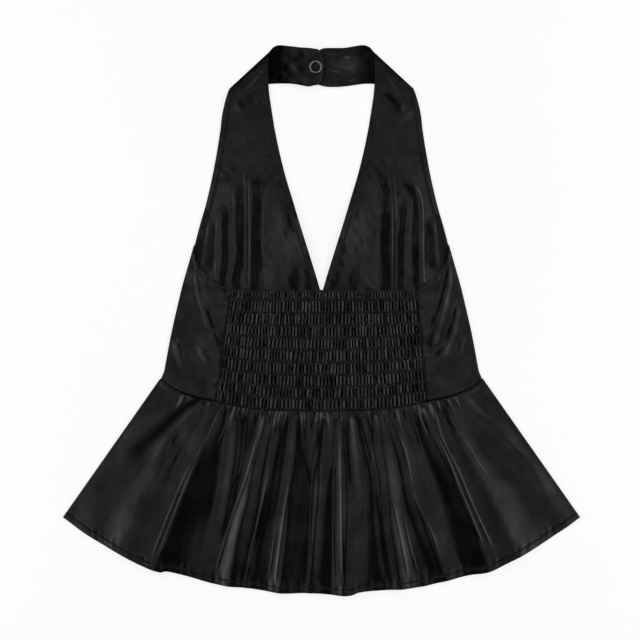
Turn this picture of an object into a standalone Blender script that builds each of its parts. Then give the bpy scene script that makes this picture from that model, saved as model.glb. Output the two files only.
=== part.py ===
"""A halter neck top in black faux leather, laid flat on its front with its back side up.

The top has two half fronts, each cut in one with its strap and half of the neck band, two plain
side backs, a shirred centre back, and a peplum of a plain front and a gathered back. A ring snap
closes the band at the nape. +X is to the right of someone looking down at the back, +Y runs from
the hem to the neck and +Z is up from the table.

The tables and sizes are in millimetres, and MM turns them into metres as each point is placed.
"""

import bisect
import math
from collections import namedtuple

import bmesh
import bpy
from mathutils import Vector

MM = 0.001

# The cloth
WALL = 1.2  # thickness of the faux leather
GAP = 0.3  # between two pieces at a seam, and between two layers
TABLE_LAYER = 0.0  # underside of the cloth that lies on the table
BACK_LAYER = WALL + GAP  # underside of the back at the side seams
BACK_RISE = 1.5  # how much higher the middle of the back lies, over the front's folds
RISE_WIDTH = 45.0  # from the side seam to where that rise is complete

# Main sizes
TOP_EDGE_Y = 31.7  # top of the shirred panel
SHIRR_TOP_LEFT_X = -92.6
SHIRR_TOP_RIGHT_X = 97.8
SHIRR_BOTTOM_X = 108.6
ARMHOLE_TOP_Y = 79.6  # where the side back's top edge leaves the side seam
BODICE_WAIST_X = 162.0  # half width of the bodice at the waist seam

# Shirring
PUFFS = 57  # in each row
PUFF_HEIGHT = 1.5
PUFF_VALLEY = 0.25  # share of the height that is left between two puffs
SHIRR_DIP = 8.8  # how far the lowest row hangs lower at its middle than at its ends

# Peplum
PEPLUM_COLUMNS = 140
PEPLUM_DOWN = (0.0, 0.05, 0.13, 0.25, 0.42, 0.62, 0.82, 1.0)  # shares of the way to the hem
GATHER_PITCH = 9.2
GATHER_HEIGHT = 2.0
GATHER_REACH = 0.13  # share of the way to the hem over which the gathers fade
GATHERED_HALF_WIDTH = 140.0
PEPLUM_FRONT_INSET = 1.5  # the front peplum's hem lies this far inside the back one's

# Fronts
FRONT_COLUMNS = 16
FOLD_RADIUS = 1.0  # of the middle of the wall where the strap folds under
FOLD_STEPS = 5
STRAP_LIFT = 2 * FOLD_RADIUS  # the strap lies this much higher where the band is under it

# Ring snap
SNAP_X = -6.1
SNAP_Y = 262.5
RING_RADIUS = 6.65
RING_BORE = 4.9
RING_THICKNESS = 1.1
SOCKET_RADIUS = 5.0
SOCKET_BORE = 2.5
SOCKET_THICKNESS = 1.1
STUD_RADIUS = 4.6
STUD_FLANGE = 0.5
KNOB_RADIUS = 2.2
BACK_RING_THICKNESS = 0.9
SNAP_STEPS = 20
UNDER_TAB_LIFT = BACK_RING_THICKNESS + GAP
FLANGE_Z = UNDER_TAB_LIFT + WALL + GAP
SOCKET_Z = FLANGE_Z + STUD_FLANGE + GAP
TOP_TAB_LIFT = SOCKET_Z + SOCKET_THICKNESS + GAP
RING_Z = TOP_TAB_LIFT + WALL + GAP

# Outline of the bodice seen from above: half width to the side and to the neck edge at each height
BodiceRow = namedtuple("BodiceRow", "y side neck")
BODICE = (
    BodiceRow(-50.4, 163.3, 0),
    BodiceRow(-13.0, 156.0, 0),
    BodiceRow(24.4, 147.2, 0),
    BodiceRow(36.9, 144.0, 3.1),
    BodiceRow(49.4, 140.4, 6.8),
    BodiceRow(74.4, 133.1, 14.6),
    BodiceRow(99.3, 126.4, 22.4),
    BodiceRow(124.3, 119.6, 29.9),
    BodiceRow(149.2, 113.9, 37.4),
    BodiceRow(174.2, 109.2, 43.7),
    BodiceRow(199.2, 105.3, 48.9),
)

# Sections across the strap above the bodice rows, from its neck edge to its armhole edge. lift is
# the height of the wall's underside over the table, and x runs outwards from the centre line.
StrapRow = namedtuple("StrapRow", "neck_x neck_y arm_x arm_y lift")
STRAP = (
    StrapRow(50.9, 211.5, 104.2, 210.0, 0.2),
    StrapRow(52.7, 223.0, 102.2, 220.5, 0.9),
    StrapRow(54.4, 235.0, 99.8, 229.5, 1.7),
    StrapRow(55.4, 248.0, 98.0, 235.0, STRAP_LIFT),
    StrapRow(55.9, 263.0, 97.0, 238.0, STRAP_LIFT),
)
# The line along which the strap folds under, at its outside
FOLD_NECK = (56.2, 278.2)
FOLD_ARM = (96.7, 240.8)

# Sections across the neck band, under the strap and on to its tab. end_bow is how far the tab's
# round end reaches past its corners, towards the other side.
BandRow = namedtuple("BandRow", "top_x top_y low_x low_y lift end_bow")
HIDDEN_BAND = (
    BandRow(51.5, 283.3, 86.0, 241.2, 0, 0),
    BandRow(47.0, 286.0, 76.0, 242.8, 0, 0),
    BandRow(41.6, 286.5, 62.0, 245.6, 0, 0),
    BandRow(33.0, 285.3, 46.0, 246.6, 0, 0),
)
TOP_TAB = (
    BandRow(22.0, 283.6, 28.0, 245.6, 1.6, 0),
    BandRow(12.0, 282.4, 14.0, 242.6, TOP_TAB_LIFT - 0.5, 0),
    BandRow(7.5, 281.6, 8.5, 243.4, TOP_TAB_LIFT, 0),
    BandRow(5.4, 280.9, 5.6, 244.5, TOP_TAB_LIFT, 5.0),
    BandRow(4.2, 280.3, 4.2, 245.4, TOP_TAB_LIFT - 1.2, 7.7),
)
UNDER_TAB = (
    BandRow(22.0, 283.6, 27.0, 244.0, 0.4, 0),
    BandRow(9.0, 283.4, 10.0, 242.8, UNDER_TAB_LIFT, 0),
    BandRow(1.0, 282.8, 1.0, 243.9, UNDER_TAB_LIFT, 0),
    BandRow(-4.2, 280.0, -4.2, 245.8, UNDER_TAB_LIFT, 10.0),
)

# The right half of the waist seam, from the centre line to where the peplum's side edge leaves it
SeamPoint = namedtuple("SeamPoint", "x y")
HALF_WAIST = (
    SeamPoint(0, -94.6),
    SeamPoint(33, -94.0),
    SeamPoint(65, -92.5),
    SeamPoint(90, -89.0),
    SeamPoint(108.5, -85.2),
    SeamPoint(127, -81.4),
    SeamPoint(141, -77.4),
    SeamPoint(153, -72.6),
    SeamPoint(161, -67.5),
    SeamPoint(168, -60.8),
)
WAIST = tuple(SeamPoint(-p.x, p.y) for p in HALF_WAIST[:0:-1]) + HALF_WAIST
# The back peplum's hem from left to right, which steps a little where a fold comes forward
HEM = (
    SeamPoint(-269.4, -205.4),
    SeamPoint(-244.4, -223.6),
    SeamPoint(-211.1, -242.3),
    SeamPoint(-184.0, -256.0),
    SeamPoint(-167.4, -261.8),
    SeamPoint(-161.2, -261.0),
    SeamPoint(-144.6, -265.2),
    SeamPoint(-111.3, -274.8),
    SeamPoint(-78.0, -278.9),
    SeamPoint(-44.7, -283.9),
    SeamPoint(-12.0, -284.4),
    SeamPoint(17.7, -286.5),
    SeamPoint(31.0, -286.2),
    SeamPoint(38.5, -283.7),
    SeamPoint(71.8, -280.8),
    SeamPoint(105.0, -277.7),
    SeamPoint(121.7, -273.5),
    SeamPoint(155.0, -265.2),
    SeamPoint(171.6, -262.1),
    SeamPoint(188.2, -254.8),
    SeamPoint(221.5, -237.5),
    SeamPoint(254.8, -216.0),
    SeamPoint(269.4, -205.4),
)

# The side back's top edge, from the side seam to the shirred panel, outwards positive
ARMHOLE = (
    SeamPoint(132.6, 79.6),
    SeamPoint(132.4, 70.0),
    SeamPoint(130.0, 60.0),
    SeamPoint(123.0, 50.8),
    SeamPoint(113.0, 41.6),
    SeamPoint(104.0, 35.4),
)

# The shirred panel's stitch lines at the centre line, from its top edge to the waist
STITCH_LINES = (TOP_EDGE_Y, 20.8, 6.9, -6.1, -18.7, -31.2, -44.2, -57.2, -70.2, -82.3, -94.3)

# Folds of the back peplum: where each ridge leaves the waist seam and meets the hem, the shares of
# the way down where it begins and ends, its half width at the seam and at the hem, and its height
PeplumFold = namedtuple("PeplumFold", "seam_x hem_x begin end seam_half hem_half height")
PEPLUM_FOLDS = (
    PeplumFold(-145.6, -218.4, 0.10, 1.3, 9, 24, 4.0),
    PeplumFold(-120.6, -190.0, 0.02, 0.6, 5, 9, 2.5),
    PeplumFold(-106.0, -177.8, 0.00, 1.3, 6, 12, 7.0),
    PeplumFold(-89.4, -117.0, 0.10, 1.3, 8, 20, 5.0),
    PeplumFold(-86.0, -150.0, 0.35, 1.3, 5, 12, 4.0),
    PeplumFold(-59.3, -111.3, 0.05, 1.3, 5, 10, 3.5),
    PeplumFold(-45.8, -80.1, 0.00, 1.3, 6, 12, 6.0),
    PeplumFold(-29.6, -51.0, 0.00, 1.3, 6, 13, 6.5),
    PeplumFold(3.1, -13.5, 0.08, 1.3, 6, 11, 5.0),
    PeplumFold(18.7, 20.8, 0.05, 1.3, 7, 15, 6.5),
    PeplumFold(30.2, 33.0, 0.00, 0.4, 4, 5, 2.5),
    PeplumFold(39.0, 69.7, 0.03, 1.3, 6, 13, 5.5),
    PeplumFold(62.4, 97.0, 0.08, 1.3, 7, 16, 6.5),
    PeplumFold(72.0, 130.0, 0.03, 1.3, 6, 14, 4.5),
    PeplumFold(100.9, 176.8, 0.00, 1.3, 7, 14, 7.0),
    PeplumFold(136.2, 216.3, 0.04, 1.3, 6, 13, 4.0),
    PeplumFold(143.5, 252.0, 0.03, 1.3, 6, 11, 3.0),
)

# Soft upright folds of the fronts and creases of the side backs: the two ends, the half width and
# the height. They fade out at both ends.
Crease = namedtuple("Crease", "x1 y1 x2 y2 half height")
FRONT_FOLDS = (
    Crease(-82, 168, -73.8, 12, 9, 2.4),
    Crease(-93, 156, -91, 30, 7, 1.6),
    Crease(-107, 124, -105.6, 25, 7, 1.5),
    Crease(-49, 135, -46, 70, 14, 1.5),
    Crease(-36, 84, -34, 16, 8, 1.2),
    Crease(74, 166, 77, 12, 9, 2.4),
    Crease(90, 134, 97, 20, 7, 1.7),
    Crease(99, 148, 108, 22, 7, 1.8),
    Crease(120, 104, 122, 36, 6, 1.2),
    Crease(49, 128, 48, 70, 14, 1.5),
)
SIDE_CREASES = (
    Crease(-131, 58, -117, -4, 6, 2.0),
    Crease(-118, -4, -104, -40, 6, 1.5),
    Crease(-130, -22, -106, -46, 7, 1.6),
    Crease(133, 66, 122, -34, 7, 2.2),
    Crease(142, 22, 118, -46, 7, 1.8),
    Crease(148, -12, 140, -42, 6, 1.5),
)


def between(a, b, share):
    return a + (b - a) * share


def ease(share):
    """0 below 0, 1 above 1, and a soft step between."""
    share = min(max(share, 0.0), 1.0)
    return share * share * (3 - 2 * share)


def curve_value(knots, values, at):
    """The value at a place on a smooth curve through the knots, which are in rising order."""
    at = min(max(at, knots[0]), knots[-1])
    i = min(max(bisect.bisect_right(knots, at) - 1, 0), len(knots) - 2)
    last = len(knots) - 1

    def slope(k):
        low, high = max(k - 1, 0), min(k + 1, last)
        return (values[high] - values[low]) / (knots[high] - knots[low])

    span = knots[i + 1] - knots[i]
    t = (at - knots[i]) / span
    return (
        (2 * t**3 - 3 * t**2 + 1) * values[i]
        + (t**3 - 2 * t**2 + t) * span * slope(i)
        + (3 * t**2 - 2 * t**3) * values[i + 1]
        + (t**3 - t**2) * span * slope(i + 1)
    )


def along(seam, x):
    """How high a seam lies at x."""
    return curve_value([point.x for point in seam], [point.y for point in seam], x)


def bodice_side(y):
    return curve_value([row.y for row in BODICE], [row.side for row in BODICE], y)


def bump(offset, half_width):
    """A soft ridge, 1 on its crest and 0 at its feet."""
    if abs(offset) >= half_width:
        return 0.0
    return 0.5 + 0.5 * math.cos(math.pi * offset / half_width)


def crease_height(creases, x, y):
    """Height of the soft folds at a point. Where they meet, the higher one shows."""
    highest = 0.0
    for crease in creases:
        run_x, run_y = crease.x2 - crease.x1, crease.y2 - crease.y1
        length = math.hypot(run_x, run_y)
        share = ((x - crease.x1) * run_x + (y - crease.y1) * run_y) / length**2
        if not 0 < share < 1:
            continue
        offset = ((x - crease.x1) * run_y - (y - crease.y1) * run_x) / length
        ends = ease(4 * share) * ease(4 * (1 - share))
        highest = max(highest, crease.height * ends * bump(offset, crease.half))
    return highest


def back_layer(x, side_x):
    """Underside of the back over the table: lowest at the side seams."""
    return BACK_LAYER + BACK_RISE * ease((side_x - abs(x)) / RISE_WIDTH)


# Meshes


def collection_named(name, is_guide=False):
    collection = bpy.data.collections.new(name)
    bpy.context.scene.collection.children.link(collection)
    collection.hide_render = is_guide
    return collection


def material_named(name, colour, roughness, metallic):
    material = bpy.data.materials.new(name)
    material.use_nodes = True
    shader = material.node_tree.nodes["Principled BSDF"]
    shader.inputs["Base Color"].default_value = (*colour, 1)
    shader.inputs["Roughness"].default_value = roughness
    shader.inputs["Metallic"].default_value = metallic
    material.diffuse_color = (*colour, 1)
    return material


def finish_object(name, bm, material, collection):
    """Makes an object of a mesh, with its faces turned outwards, in metres."""
    bmesh.ops.recalc_face_normals(bm, faces=bm.faces[:])
    bmesh.ops.scale(bm, vec=Vector((MM, MM, MM)), verts=bm.verts[:])
    mesh = bpy.data.meshes.new(name)
    bm.to_mesh(mesh)
    bm.free()
    mesh.shade_smooth()
    mesh.set_sharp_from_angle(angle=math.radians(40))
    obj = bpy.data.objects.new(name, mesh)
    obj.data.materials.append(material)
    collection.objects.link(obj)
    return obj


def grid(columns, rows, place):
    """An open grid of the given columns and rows, with place(column, row) for each point."""
    bm = bmesh.new()
    bmesh.ops.create_grid(bm, x_segments=columns, y_segments=rows, size=0.5)
    for vertex in bm.verts:
        column = round((vertex.co.x + 0.5) * columns)
        row = round((vertex.co.y + 0.5) * rows)
        vertex.co = Vector(place(column, row))
    return bm


def raise_wall(bm):
    """Makes an open surface a wall of even thickness, standing straight up from it."""
    rise = {}
    bm.normal_update()
    for vertex in bm.verts:
        rise[vertex.index] = WALL / max(abs(vertex.normal.z), 0.5)
    made = bmesh.ops.extrude_face_region(bm, geom=bm.faces[:])
    raised = [item for item in made["geom"] if isinstance(item, bmesh.types.BMVert)]
    for vertex, height in zip(raised, rise.values(), strict=True):
        vertex.co.z += height
    return bm


# Fronts


def front_sections(side, tab):
    """The sections of one half front, from the waist to the end of its tab.

    Each is the section's two ends, the height of the middle of the wall, the bow of a round end,
    and whether folds show on it. side is 1 on the right and -1 on the left.
    """
    middle = WALL / 2
    sections = []
    for row in BODICE:
        neck = max(row.neck, GAP / 2)
        sections.append(((neck, row.y), (row.side, row.y), middle, 0, True))
    for row in STRAP:
        ends = ((row.neck_x, row.neck_y), (row.arm_x, row.arm_y))
        sections.append((*ends, row.lift + middle, 0, True))

    along_x, along_y = FOLD_NECK[0] - FOLD_ARM[0], FOLD_NECK[1] - FOLD_ARM[1]
    length = math.hypot(along_x, along_y)
    out_x, out_y = along_y / length, -along_x / length
    inset = FOLD_RADIUS + WALL / 2
    for step in range(FOLD_STEPS + 1):
        angle = math.pi * step / FOLD_STEPS
        reach = FOLD_RADIUS * math.sin(angle) - inset
        height = middle + FOLD_RADIUS * (1 + math.cos(angle))
        neck = (FOLD_NECK[0] + out_x * reach, FOLD_NECK[1] + out_y * reach)
        arm = (FOLD_ARM[0] + out_x * reach, FOLD_ARM[1] + out_y * reach)
        sections.append((neck, arm, height, 0, False))

    for row in HIDDEN_BAND + tab:
        ends = ((row.top_x, row.top_y), (row.low_x, row.low_y))
        sections.append((*ends, row.lift + middle, row.end_bow, False))
    return [
        ((side * neck[0], neck[1]), (side * arm[0], arm[1]), height, -side * bow, folded)
        for neck, arm, height, bow, folded in sections
    ]


def front(name, side, tab, material, collection):
    sections = front_sections(side, tab)

    def place(column, row):
        share = column / FRONT_COLUMNS
        if row == 0:
            x = side * between(GAP / 2, BODICE_WAIST_X, share)
            return x, along(WAIST, x) + GAP / 2, WALL / 2
        neck, arm, height, bow, folded = sections[row - 1]
        round_end = math.sqrt(max(1 - (2 * share - 1) ** 2, 0))
        x = between(neck[0], arm[0], share) + bow * round_end
        y = between(neck[1], arm[1], share)
        if folded:
            height += crease_height(FRONT_FOLDS, x, y)
        return x, y, height

    bm = grid(FRONT_COLUMNS, len(sections), place)
    obj = finish_object(name, bm, material, collection)
    wall = obj.modifiers.new("wall", "SOLIDIFY")
    wall.thickness = WALL * MM
    wall.offset = 0
    return obj


# Back


def side_back(name, side, material, collection):
    """A side back: its corners are the side seam's two ends and the shirred panel's edge."""
    columns, rows = 9, 10
    inner_top_x = abs(SHIRR_TOP_LEFT_X if side < 0 else SHIRR_TOP_RIGHT_X)

    def inner_edge(down):
        x = between(inner_top_x, SHIRR_BOTTOM_X, down) + GAP
        return x, between(TOP_EDGE_Y, along(WAIST, x) + GAP / 2, down)

    def outer_edge(down):
        y = between(ARMHOLE_TOP_Y, along(WAIST, BODICE_WAIST_X) + GAP / 2, down)
        return between(bodice_side(y), BODICE_WAIST_X, ease(10 * down - 9)), y

    top = [*ARMHOLE, SeamPoint(*inner_edge(0))]
    steps = list(range(len(top)))

    def top_edge(across):
        at = across * steps[-1]
        return (
            curve_value(steps, [point.x for point in top], at),
            curve_value(steps, [point.y for point in top], at),
        )

    def bottom_edge(across):
        x = between(BODICE_WAIST_X, SHIRR_BOTTOM_X + GAP, across)
        return x, along(WAIST, x) + GAP / 2

    def place(column, row):
        across, down = column / columns, 1 - row / rows
        spot = []
        for axis in (0, 1):
            ruled = between(outer_edge(down)[axis], inner_edge(down)[axis], across)
            crossed = between(top_edge(across)[axis], bottom_edge(across)[axis], down)
            corners = between(
                between(outer_edge(0)[axis], inner_edge(0)[axis], across),
                between(outer_edge(1)[axis], inner_edge(1)[axis], across),
                down,
            )
            spot.append(ruled + crossed - corners)
        x, y = side * spot[0], spot[1]
        height = back_layer(x, bodice_side(y)) + crease_height(SIDE_CREASES, x, y)
        return x, y, height

    bm = raise_wall(grid(columns, rows, place))
    return finish_object(name, bm, material, collection)


def shirred_back(name, material, collection):
    """The shirred panel: rows of puffs on its outside over a plain flat inside."""
    columns = 2 * PUFFS
    lines = [STITCH_LINES[0]]
    heights = [0.5]
    for above, below in zip(STITCH_LINES, STITCH_LINES[1:]):
        for share, height in ((0.28, 1.0), (0.72, 1.0), (1.0, 0.0)):
            lines.append(between(above, below, share))
            heights.append(height)
    rows = len(lines) - 1
    inside = BACK_LAYER + BACK_RISE

    def place(column, row):
        line = rows - row
        down = (TOP_EDGE_Y - lines[line]) / (TOP_EDGE_Y - STITCH_LINES[-1])
        across = column / columns
        left = between(SHIRR_TOP_LEFT_X, -SHIRR_BOTTOM_X, down)
        right = between(SHIRR_TOP_RIGHT_X, SHIRR_BOTTOM_X, down)
        x = between(left, right, across)
        y = lines[line] + SHIRR_DIP * down * (2 * across - 1) ** 2
        if line == rows:
            y = along(WAIST, x) + GAP / 2
        swell = 1.0 if column % 2 else PUFF_VALLEY
        on_edge = column in (0, columns)
        height = 0 if on_edge else PUFF_HEIGHT * swell * heights[line]
        return x, y, inside + WALL + height

    bm = grid(columns, rows, place)
    rim = [edge for edge in bm.edges if edge.is_boundary]
    made = bmesh.ops.extrude_edge_only(bm, edges=rim)
    lowered = [item for item in made["geom"] if isinstance(item, bmesh.types.BMVert)]
    for vertex in lowered:
        vertex.co.z = inside
    bottom = [item for item in made["geom"] if isinstance(item, bmesh.types.BMEdge)]
    bottom = [edge for edge in bottom if edge.is_boundary]
    bmesh.ops.edgeloop_fill(bm, edges=bottom)
    return finish_object(name, bm, material, collection)


# Peplum


def peplum_point(across, down):
    """A point of the peplum's plan, and where across the waist seam its thread begins."""
    seam_x = between(-WAIST[-1].x, WAIST[-1].x, across)
    hem_x = between(-HEM[-1].x, HEM[-1].x, across)
    x = between(seam_x, hem_x, down)
    y = between(along(WAIST, seam_x) - GAP / 2, along(HEM, hem_x), down)
    return x, y, seam_x


def peplum_height(x, down, seam_x):
    """Height of the back peplum's folds and gathers over its lowest level."""
    folds = 0.0
    for fold in PEPLUM_FOLDS:
        if not fold.begin < down < fold.end:
            continue
        centre = between(fold.seam_x, fold.hem_x, down)
        half = between(fold.seam_half, fold.hem_half, down)
        fade = ease((down - fold.begin) / 0.25) * ease((fold.end - down) / 0.25)
        folds += fold.height * fade * bump(x - centre, half)
    gathered = ease((GATHERED_HALF_WIDTH - abs(seam_x)) / 12)
    wave = 0.5 + 0.5 * math.cos(2 * math.pi * seam_x / GATHER_PITCH)
    fade = math.exp(-((down / GATHER_REACH) ** 2)) * ease((down + 0.03) / 0.06)
    return folds + GATHER_HEIGHT * gathered * wave * fade


def peplum_back(name, material, collection):
    rows = len(PEPLUM_DOWN) - 1

    def place(column, row):
        down = PEPLUM_DOWN[rows - row]
        x, y, seam_x = peplum_point(column / PEPLUM_COLUMNS, down)
        lift = BACK_RISE * (1 - ease(down / 0.6)) * ease((WAIST[-1].x - abs(seam_x)) / RISE_WIDTH)
        at_side = ease((1 - abs(2 * column / PEPLUM_COLUMNS - 1)) / 0.03)
        return x, y, BACK_LAYER + lift + at_side * peplum_height(x, down, seam_x)

    bm = raise_wall(grid(PEPLUM_COLUMNS, rows, place))
    return finish_object(name, bm, material, collection)


def peplum_front(name, material, collection):
    """The front peplum: one flat layer on the table."""
    steps = 56
    seam = [peplum_point(step / steps, 0)[:2] for step in range(steps + 1)]
    hem = [peplum_point(step / steps, 1)[:2] for step in range(steps + 1)]
    inward = 1 - PEPLUM_FRONT_INSET / HEM[-1].x
    hem = [(x * inward, y + PEPLUM_FRONT_INSET) for x, y in hem]
    bm = bmesh.new()
    outline = [bm.verts.new((x, y, TABLE_LAYER)) for x, y in seam + hem[::-1]]
    face = bm.faces.new(outline)
    made = bmesh.ops.extrude_face_region(bm, geom=[face])
    raised = [item for item in made["geom"] if isinstance(item, bmesh.types.BMVert)]
    bmesh.ops.translate(bm, vec=Vector((0, 0, WALL)), verts=raised)
    return finish_object(name, bm, material, collection)


# Snap


def turned(name, profile, material, collection):
    """A round piece from its half section, given as (radius, height) points round the section."""
    mesh = bpy.data.meshes.new(name)
    points = [(radius * MM, 0, height * MM) for radius, height in profile]
    count = len(points)
    closed = profile[0][0] > 0
    edges = [(i, (i + 1) % count) for i in range(count if closed else count - 1)]
    mesh.from_pydata(points, edges, [])
    mesh.materials.append(material)
    obj = bpy.data.objects.new(name, mesh)
    obj.location = (SNAP_X * MM, SNAP_Y * MM, 0)
    collection.objects.link(obj)
    screw = obj.modifiers.new("turn", "SCREW")
    screw.steps = SNAP_STEPS
    screw.render_steps = SNAP_STEPS
    screw.use_merge_vertices = True
    screw.merge_threshold = 0.00001
    return obj


def ring_profile(bore, radius, low, thickness):
    """A flat ring with rounded shoulders, down its outer side and up its bore."""
    soft = 0.3 * thickness
    high = low + thickness
    return [
        (bore + soft, high),
        (radius - soft, high),
        (radius, high - soft),
        (radius, low),
        (bore, low),
        (bore, high - soft),
    ]


def stud_profile(low):
    """A flange with a knob that stands up into the socket."""
    knob_top = SOCKET_Z + SOCKET_THICKNESS - GAP
    flange_top = low + STUD_FLANGE
    return [
        (0, knob_top),
        (KNOB_RADIUS - 0.3, knob_top),
        (KNOB_RADIUS, knob_top - 0.3),
        (KNOB_RADIUS - 0.2, flange_top),
        (STUD_RADIUS, flange_top),
        (STUD_RADIUS, low),
        (0, low),
    ]


def snap(material, collection):
    ring = ring_profile(RING_BORE, RING_RADIUS, RING_Z, RING_THICKNESS)
    turned("snap_ring", ring, material, collection)
    socket = ring_profile(SOCKET_BORE, SOCKET_RADIUS, SOCKET_Z, SOCKET_THICKNESS)
    turned("snap_socket", socket, material, collection)
    turned("snap_stud", stud_profile(FLANGE_Z), material, collection)
    back_ring = ring_profile(RING_BORE, RING_RADIUS, TABLE_LAYER, BACK_RING_THICKNESS)
    turned("snap_back_ring", back_ring, material, collection)


def main():
    for obj in list(bpy.data.objects):
        bpy.data.objects.remove(obj, do_unlink=True)
    top = collection_named("halter_neck_top")
    leather = material_named("faux_leather", (0.012, 0.012, 0.013), 0.38, 0.0)
    lining = material_named("faux_leather_inside", (0.011, 0.011, 0.012), 0.42, 0.0)
    steel = material_named("snap_steel", (0.62, 0.62, 0.63), 0.25, 1.0)

    front("front_left", -1, TOP_TAB, lining, top)
    front("front_right", 1, UNDER_TAB, lining, top)
    side_back("back_side_left", -1, leather, top)
    side_back("back_side_right", 1, leather, top)
    shirred_back("back_shirred", leather, top)
    peplum_back("peplum_back", leather, top)
    peplum_front("peplum_front", leather, top)
    snap(steel, top)


main()
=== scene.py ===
"""Looks of the halter neck top, which lies flat on its front with its back side up.

Each cut piece is a thin shell of faux leather on its solid's form, with turned and stitched edges.
Tables and sizes are in millimetres in the part's own frame: x to the right of someone looking down
at the back, y from the hem to the neck, z up. MM turns them into metres.
"""

import math
import random
from collections import namedtuple

import bmesh
import bpy
import numpy as np
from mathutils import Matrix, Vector


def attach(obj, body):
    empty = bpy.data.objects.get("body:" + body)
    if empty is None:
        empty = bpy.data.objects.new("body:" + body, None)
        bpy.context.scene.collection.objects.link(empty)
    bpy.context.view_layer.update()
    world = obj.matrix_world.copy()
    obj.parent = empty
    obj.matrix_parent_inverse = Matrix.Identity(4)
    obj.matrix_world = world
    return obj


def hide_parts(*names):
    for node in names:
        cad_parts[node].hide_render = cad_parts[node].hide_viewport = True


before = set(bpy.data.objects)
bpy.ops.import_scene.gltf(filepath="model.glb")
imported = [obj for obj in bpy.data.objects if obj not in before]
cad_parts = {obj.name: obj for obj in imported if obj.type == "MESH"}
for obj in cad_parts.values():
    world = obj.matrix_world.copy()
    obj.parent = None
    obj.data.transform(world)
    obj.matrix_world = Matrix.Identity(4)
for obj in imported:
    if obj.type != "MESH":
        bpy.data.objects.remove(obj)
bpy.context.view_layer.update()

MM = 0.001

# The cloth
SKIN = 0.9  # thickness of a shell, inside the solids' wall
LOW = 0.1  # a shell's underside over its solid's underside
WALL = 1.2
GAP = 0.3
BACK_LAYER = WALL + GAP
BACK_RISE = 1.5
RISE_WIDTH = 45.0
HEM_WIDTH = 7.2  # of the turned edges
BACK_HEM_WIDTH = 6.5
EDGE_STEP = 0.9  # width of the step from a turned edge down to the plain cloth
STITCH_INSET = 5.8  # from the edge to the line of stitches
PEPLUM_INSET = 6.2
BACK_INSET = 2.2
STITCH_PITCH = 3.2
STITCH_LENGTH = 2.5
THREAD_RADIUS = 0.26

# Main sizes
TOP_EDGE_Y = 31.7
SHIRR_TOP_LEFT_X = -92.6
SHIRR_TOP_RIGHT_X = 97.8
SHIRR_BOTTOM_X = 108.6
ARMHOLE_TOP_Y = 79.6
BODICE_WAIST_X = 167.0
FRONT_PEPLUM_INSET = 1.5  # hides its hem under the back one's
PUFFS = 57
SHIRR_DIP = 8.8
FOLD_RADIUS = 1.0
FOLD_STEPS = 5
STRAP_LIFT = 2 * FOLD_RADIUS

# Ring snap
SNAP_X = -6.1
SNAP_Y = 262.5
RING_RADIUS = 6.65
RING_BORE = 4.9
RING_THICKNESS = 1.1
SOCKET_THICKNESS = 1.1
STUD_FLANGE = 0.5
BACK_RING_THICKNESS = 0.9
SOCKET_BORE = 2.5
SOCKET_RADIUS = 5.0
STUD_RADIUS = 4.6
UNDER_TAB_LIFT = BACK_RING_THICKNESS + GAP
FLANGE_Z = UNDER_TAB_LIFT + WALL + GAP
SOCKET_Z = FLANGE_Z + STUD_FLANGE + GAP
TOP_TAB_LIFT = SOCKET_Z + SOCKET_THICKNESS + GAP
RING_Z = TOP_TAB_LIFT + WALL + GAP


def table(row, *values):
    """Rows of a table with named columns."""
    return tuple(row(*line) for line in values)


# The bodice seen from above: half width to the side and to the neck edge at each height
BodiceRow = namedtuple("BodiceRow", "y side neck")
BODICE = table(
    BodiceRow,
    (-50.4, 163.3, 0),
    (-13.0, 156.0, 0),
    (24.4, 147.2, 0),
    (36.9, 144.0, 3.1),
    (49.4, 140.4, 6.8),
    (74.4, 133.1, 14.6),
    (99.3, 126.4, 22.4),
    (124.3, 119.6, 29.9),
    (149.2, 113.9, 37.4),
    (174.2, 109.2, 43.7),
    (199.2, 105.3, 48.9),
)
StrapRow = namedtuple("StrapRow", "neck_x neck_y arm_x arm_y lift")
STRAP = table(
    StrapRow,
    (50.9, 211.5, 104.2, 210.0, 0.2),
    (52.7, 223.0, 102.2, 220.5, 0.9),
    (54.4, 235.0, 99.8, 229.5, 1.7),
    (55.4, 248.0, 98.0, 235.0, STRAP_LIFT),
    (55.9, 263.0, 97.0, 238.0, STRAP_LIFT),
)
FOLD_NECK = (56.2, 278.2)
FOLD_ARM = (96.7, 240.8)
BandRow = namedtuple("BandRow", "top_x top_y low_x low_y lift end_bow")
HIDDEN_BAND = table(
    BandRow,
    (51.5, 283.3, 86.0, 241.2, 0, 0),
    (47.0, 286.0, 76.0, 242.8, 0, 0),
    (41.6, 286.5, 62.0, 245.6, 0, 0),
)
TOP_TAB = table(
    BandRow,
    (33.0, 285.3, 46.0, 246.6, 0.9, 0),
    (22.0, 283.6, 28.0, 245.6, 2.6, 0),
    (12.0, 282.4, 14.0, 242.6, TOP_TAB_LIFT - 0.5, 0),
    (7.5, 281.6, 8.5, 243.4, TOP_TAB_LIFT, 0),
    (5.4, 280.9, 5.6, 244.5, TOP_TAB_LIFT, 5.0),
    (4.2, 280.3, 4.2, 245.4, TOP_TAB_LIFT - 1.2, 7.7),
)
UNDER_TAB = table(
    BandRow,
    (33.0, 285.3, 46.0, 246.6, 0, 0),
    (22.0, 283.6, 27.0, 244.0, 0.4, 0),
    (9.0, 283.4, 10.0, 242.8, UNDER_TAB_LIFT, 0),
    (1.0, 282.8, 1.0, 243.9, UNDER_TAB_LIFT, 0),
    (-4.2, 280.0, -4.2, 245.8, UNDER_TAB_LIFT, 10.0),
)

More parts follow.
